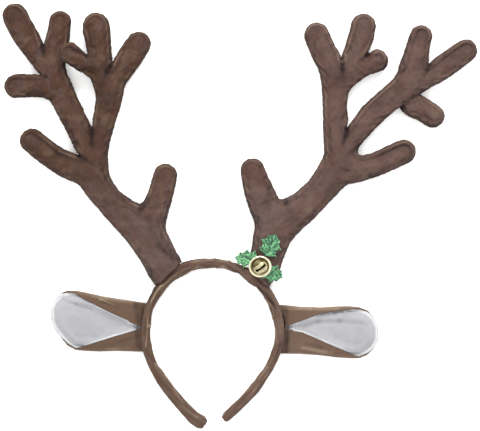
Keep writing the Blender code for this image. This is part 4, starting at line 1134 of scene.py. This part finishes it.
def makeBell():
    wall, dome, rim, bowl = (jingleBell[k] for k in ("wall", "dome", "rim", "bowl"))
    low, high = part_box("bell_front")
    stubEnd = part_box("bell_back")[0].z
    middle = Vector(((low.x + high.x) / 2, (low.y + high.y) / 2 + jingleBell["lift"] * mm,
                     high.z - (dome + 0.25) * mm))
    place = Matrix.Translation(middle) @ Matrix.Rotation(math.radians(jingleBell["tilt"]), 4, "X")
    # slotted front: dome, groove, rolled rim, and the inside of the same wall
    front = arc(dome, 0.2, 78, 16, 0.25)
    front += [(dome + 0.02, 1.35), (dome + 0.12, 0.85), (dome + 0.35, 0.62), (dome + 0.65, 0.80),
              (rim - 1.25, 1.10), (rim - 0.70, 1.36), (rim - 0.45, 1.40), (rim - 0.18, 1.22),
              (rim, 0.85), (rim - 0.02, 0.45), (rim - 0.2, 0.2), (rim - 0.5, 0.12)]
    front += [(dome - 0.5, 0.12)] + arc(dome - wall, 0.2, 80, 12, 0.25)[::-1]
    shell = turned("bellFront", front)
    angle = math.radians(jingleBell["slotAngle"])
    deselectAll()
    shiftX = jingleBell["slotShift"] * math.cos(angle) * mm
    shiftY = jingleBell["slotShift"] * math.sin(angle) * mm
    bpy.ops.mesh.primitive_cube_add(size=1, location=(shiftX, shiftY, dome * mm))
    slot = bpy.context.object
    slot.scale = (jingleBell["slotLength"] * mm, jingleBell["slotWidth"] * mm, dome * mm)
    slot.rotation_euler = (0, 0, angle)
    cutWith(shell, slot)
    for end in (-1, 1):
        deselectAll()
        reach = end * jingleBell["slotLength"] / 2 * mm
        bpy.ops.mesh.primitive_cylinder_add(
            vertices=28, radius=jingleBell["slotEnds"] * mm, depth=dome * mm,
            location=(shiftX + reach * math.cos(angle), shiftY + reach * math.sin(angle),
                      dome * mm))
        cutWith(shell, bpy.context.object)
    # plain back half, with the shank that is sewn down
    foot = -(middle.z - stubEnd) / mm
    back = [(0.02, foot), (1.0, foot), (1.2, foot + 0.3), (1.25, -bowl - 0.6), (1.6, -bowl)]
    back += arc(bowl, 14, 88, 14, 0.0, -1) + [(bowl + 0.25, -0.12), (bowl - 0.3, -0.10)]
    back += arc(bowl - wall, 0.2, 86, 12, 0.0, -1)[::-1]
    cup = turned("bellBack", back)
    for piece, node, finish in ((shell, "bell_front", goldSlotShade), (cup, "bell_back", goldBrass)):
        points = pointsOf(piece)
        radial = np.hypot(points[:, 0], points[:, 1])
        # painted shade in the groove, and a painted highlight on the rim, most of all at the top
        # right
        groove = hump(radial, (dome + 0.25) * mm, 0.5 * mm) \
            * (points[:, 2] < 1.7 * mm) * (points[:, 2] > 0.3 * mm)
        up = smoothStep(points[:, 1] + 0.6 * points[:, 0], -2 * mm, 7 * mm)
        bright = 0.75 * hump(radial, (rim - 0.4) * mm, 0.55 * mm) \
            + 0.8 * up * hump(radial, (rim - 1.5) * mm, 0.7 * mm)
        keepValues(piece, "crease", np.clip(0.97 * groove, 0, 1))
        keepValues(piece, "rub", np.clip(bright, 0, 1))
        piece.data.transform(place)
        dress(piece, node, [finish], jingleBell["sharpOver"])


makeBell()
print("bell")


def makeSteel():
    material, make, links, shader, place = startMaterial("dullSteel")
    stain = noiseAt(make, place, 900.0, 3.0, 0.6)
    colour = mixColours(make, spread(make, stain, 0.4, 0.65), jingleBell["pea"],
                        jingleBell["peaRust"])
    links.new(colour, shader.inputs["Base Color"])
    links.new(spread(make, stain, 0.3, 0.7, 0.35, 0.6), shader.inputs["Roughness"])
    shader.inputs["Metallic"].default_value = 1.0
    return material


dullSteel = makeSteel()
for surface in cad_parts["bell_pea"].material_slots:
    surface.material = dullSteel
print("loose ball")
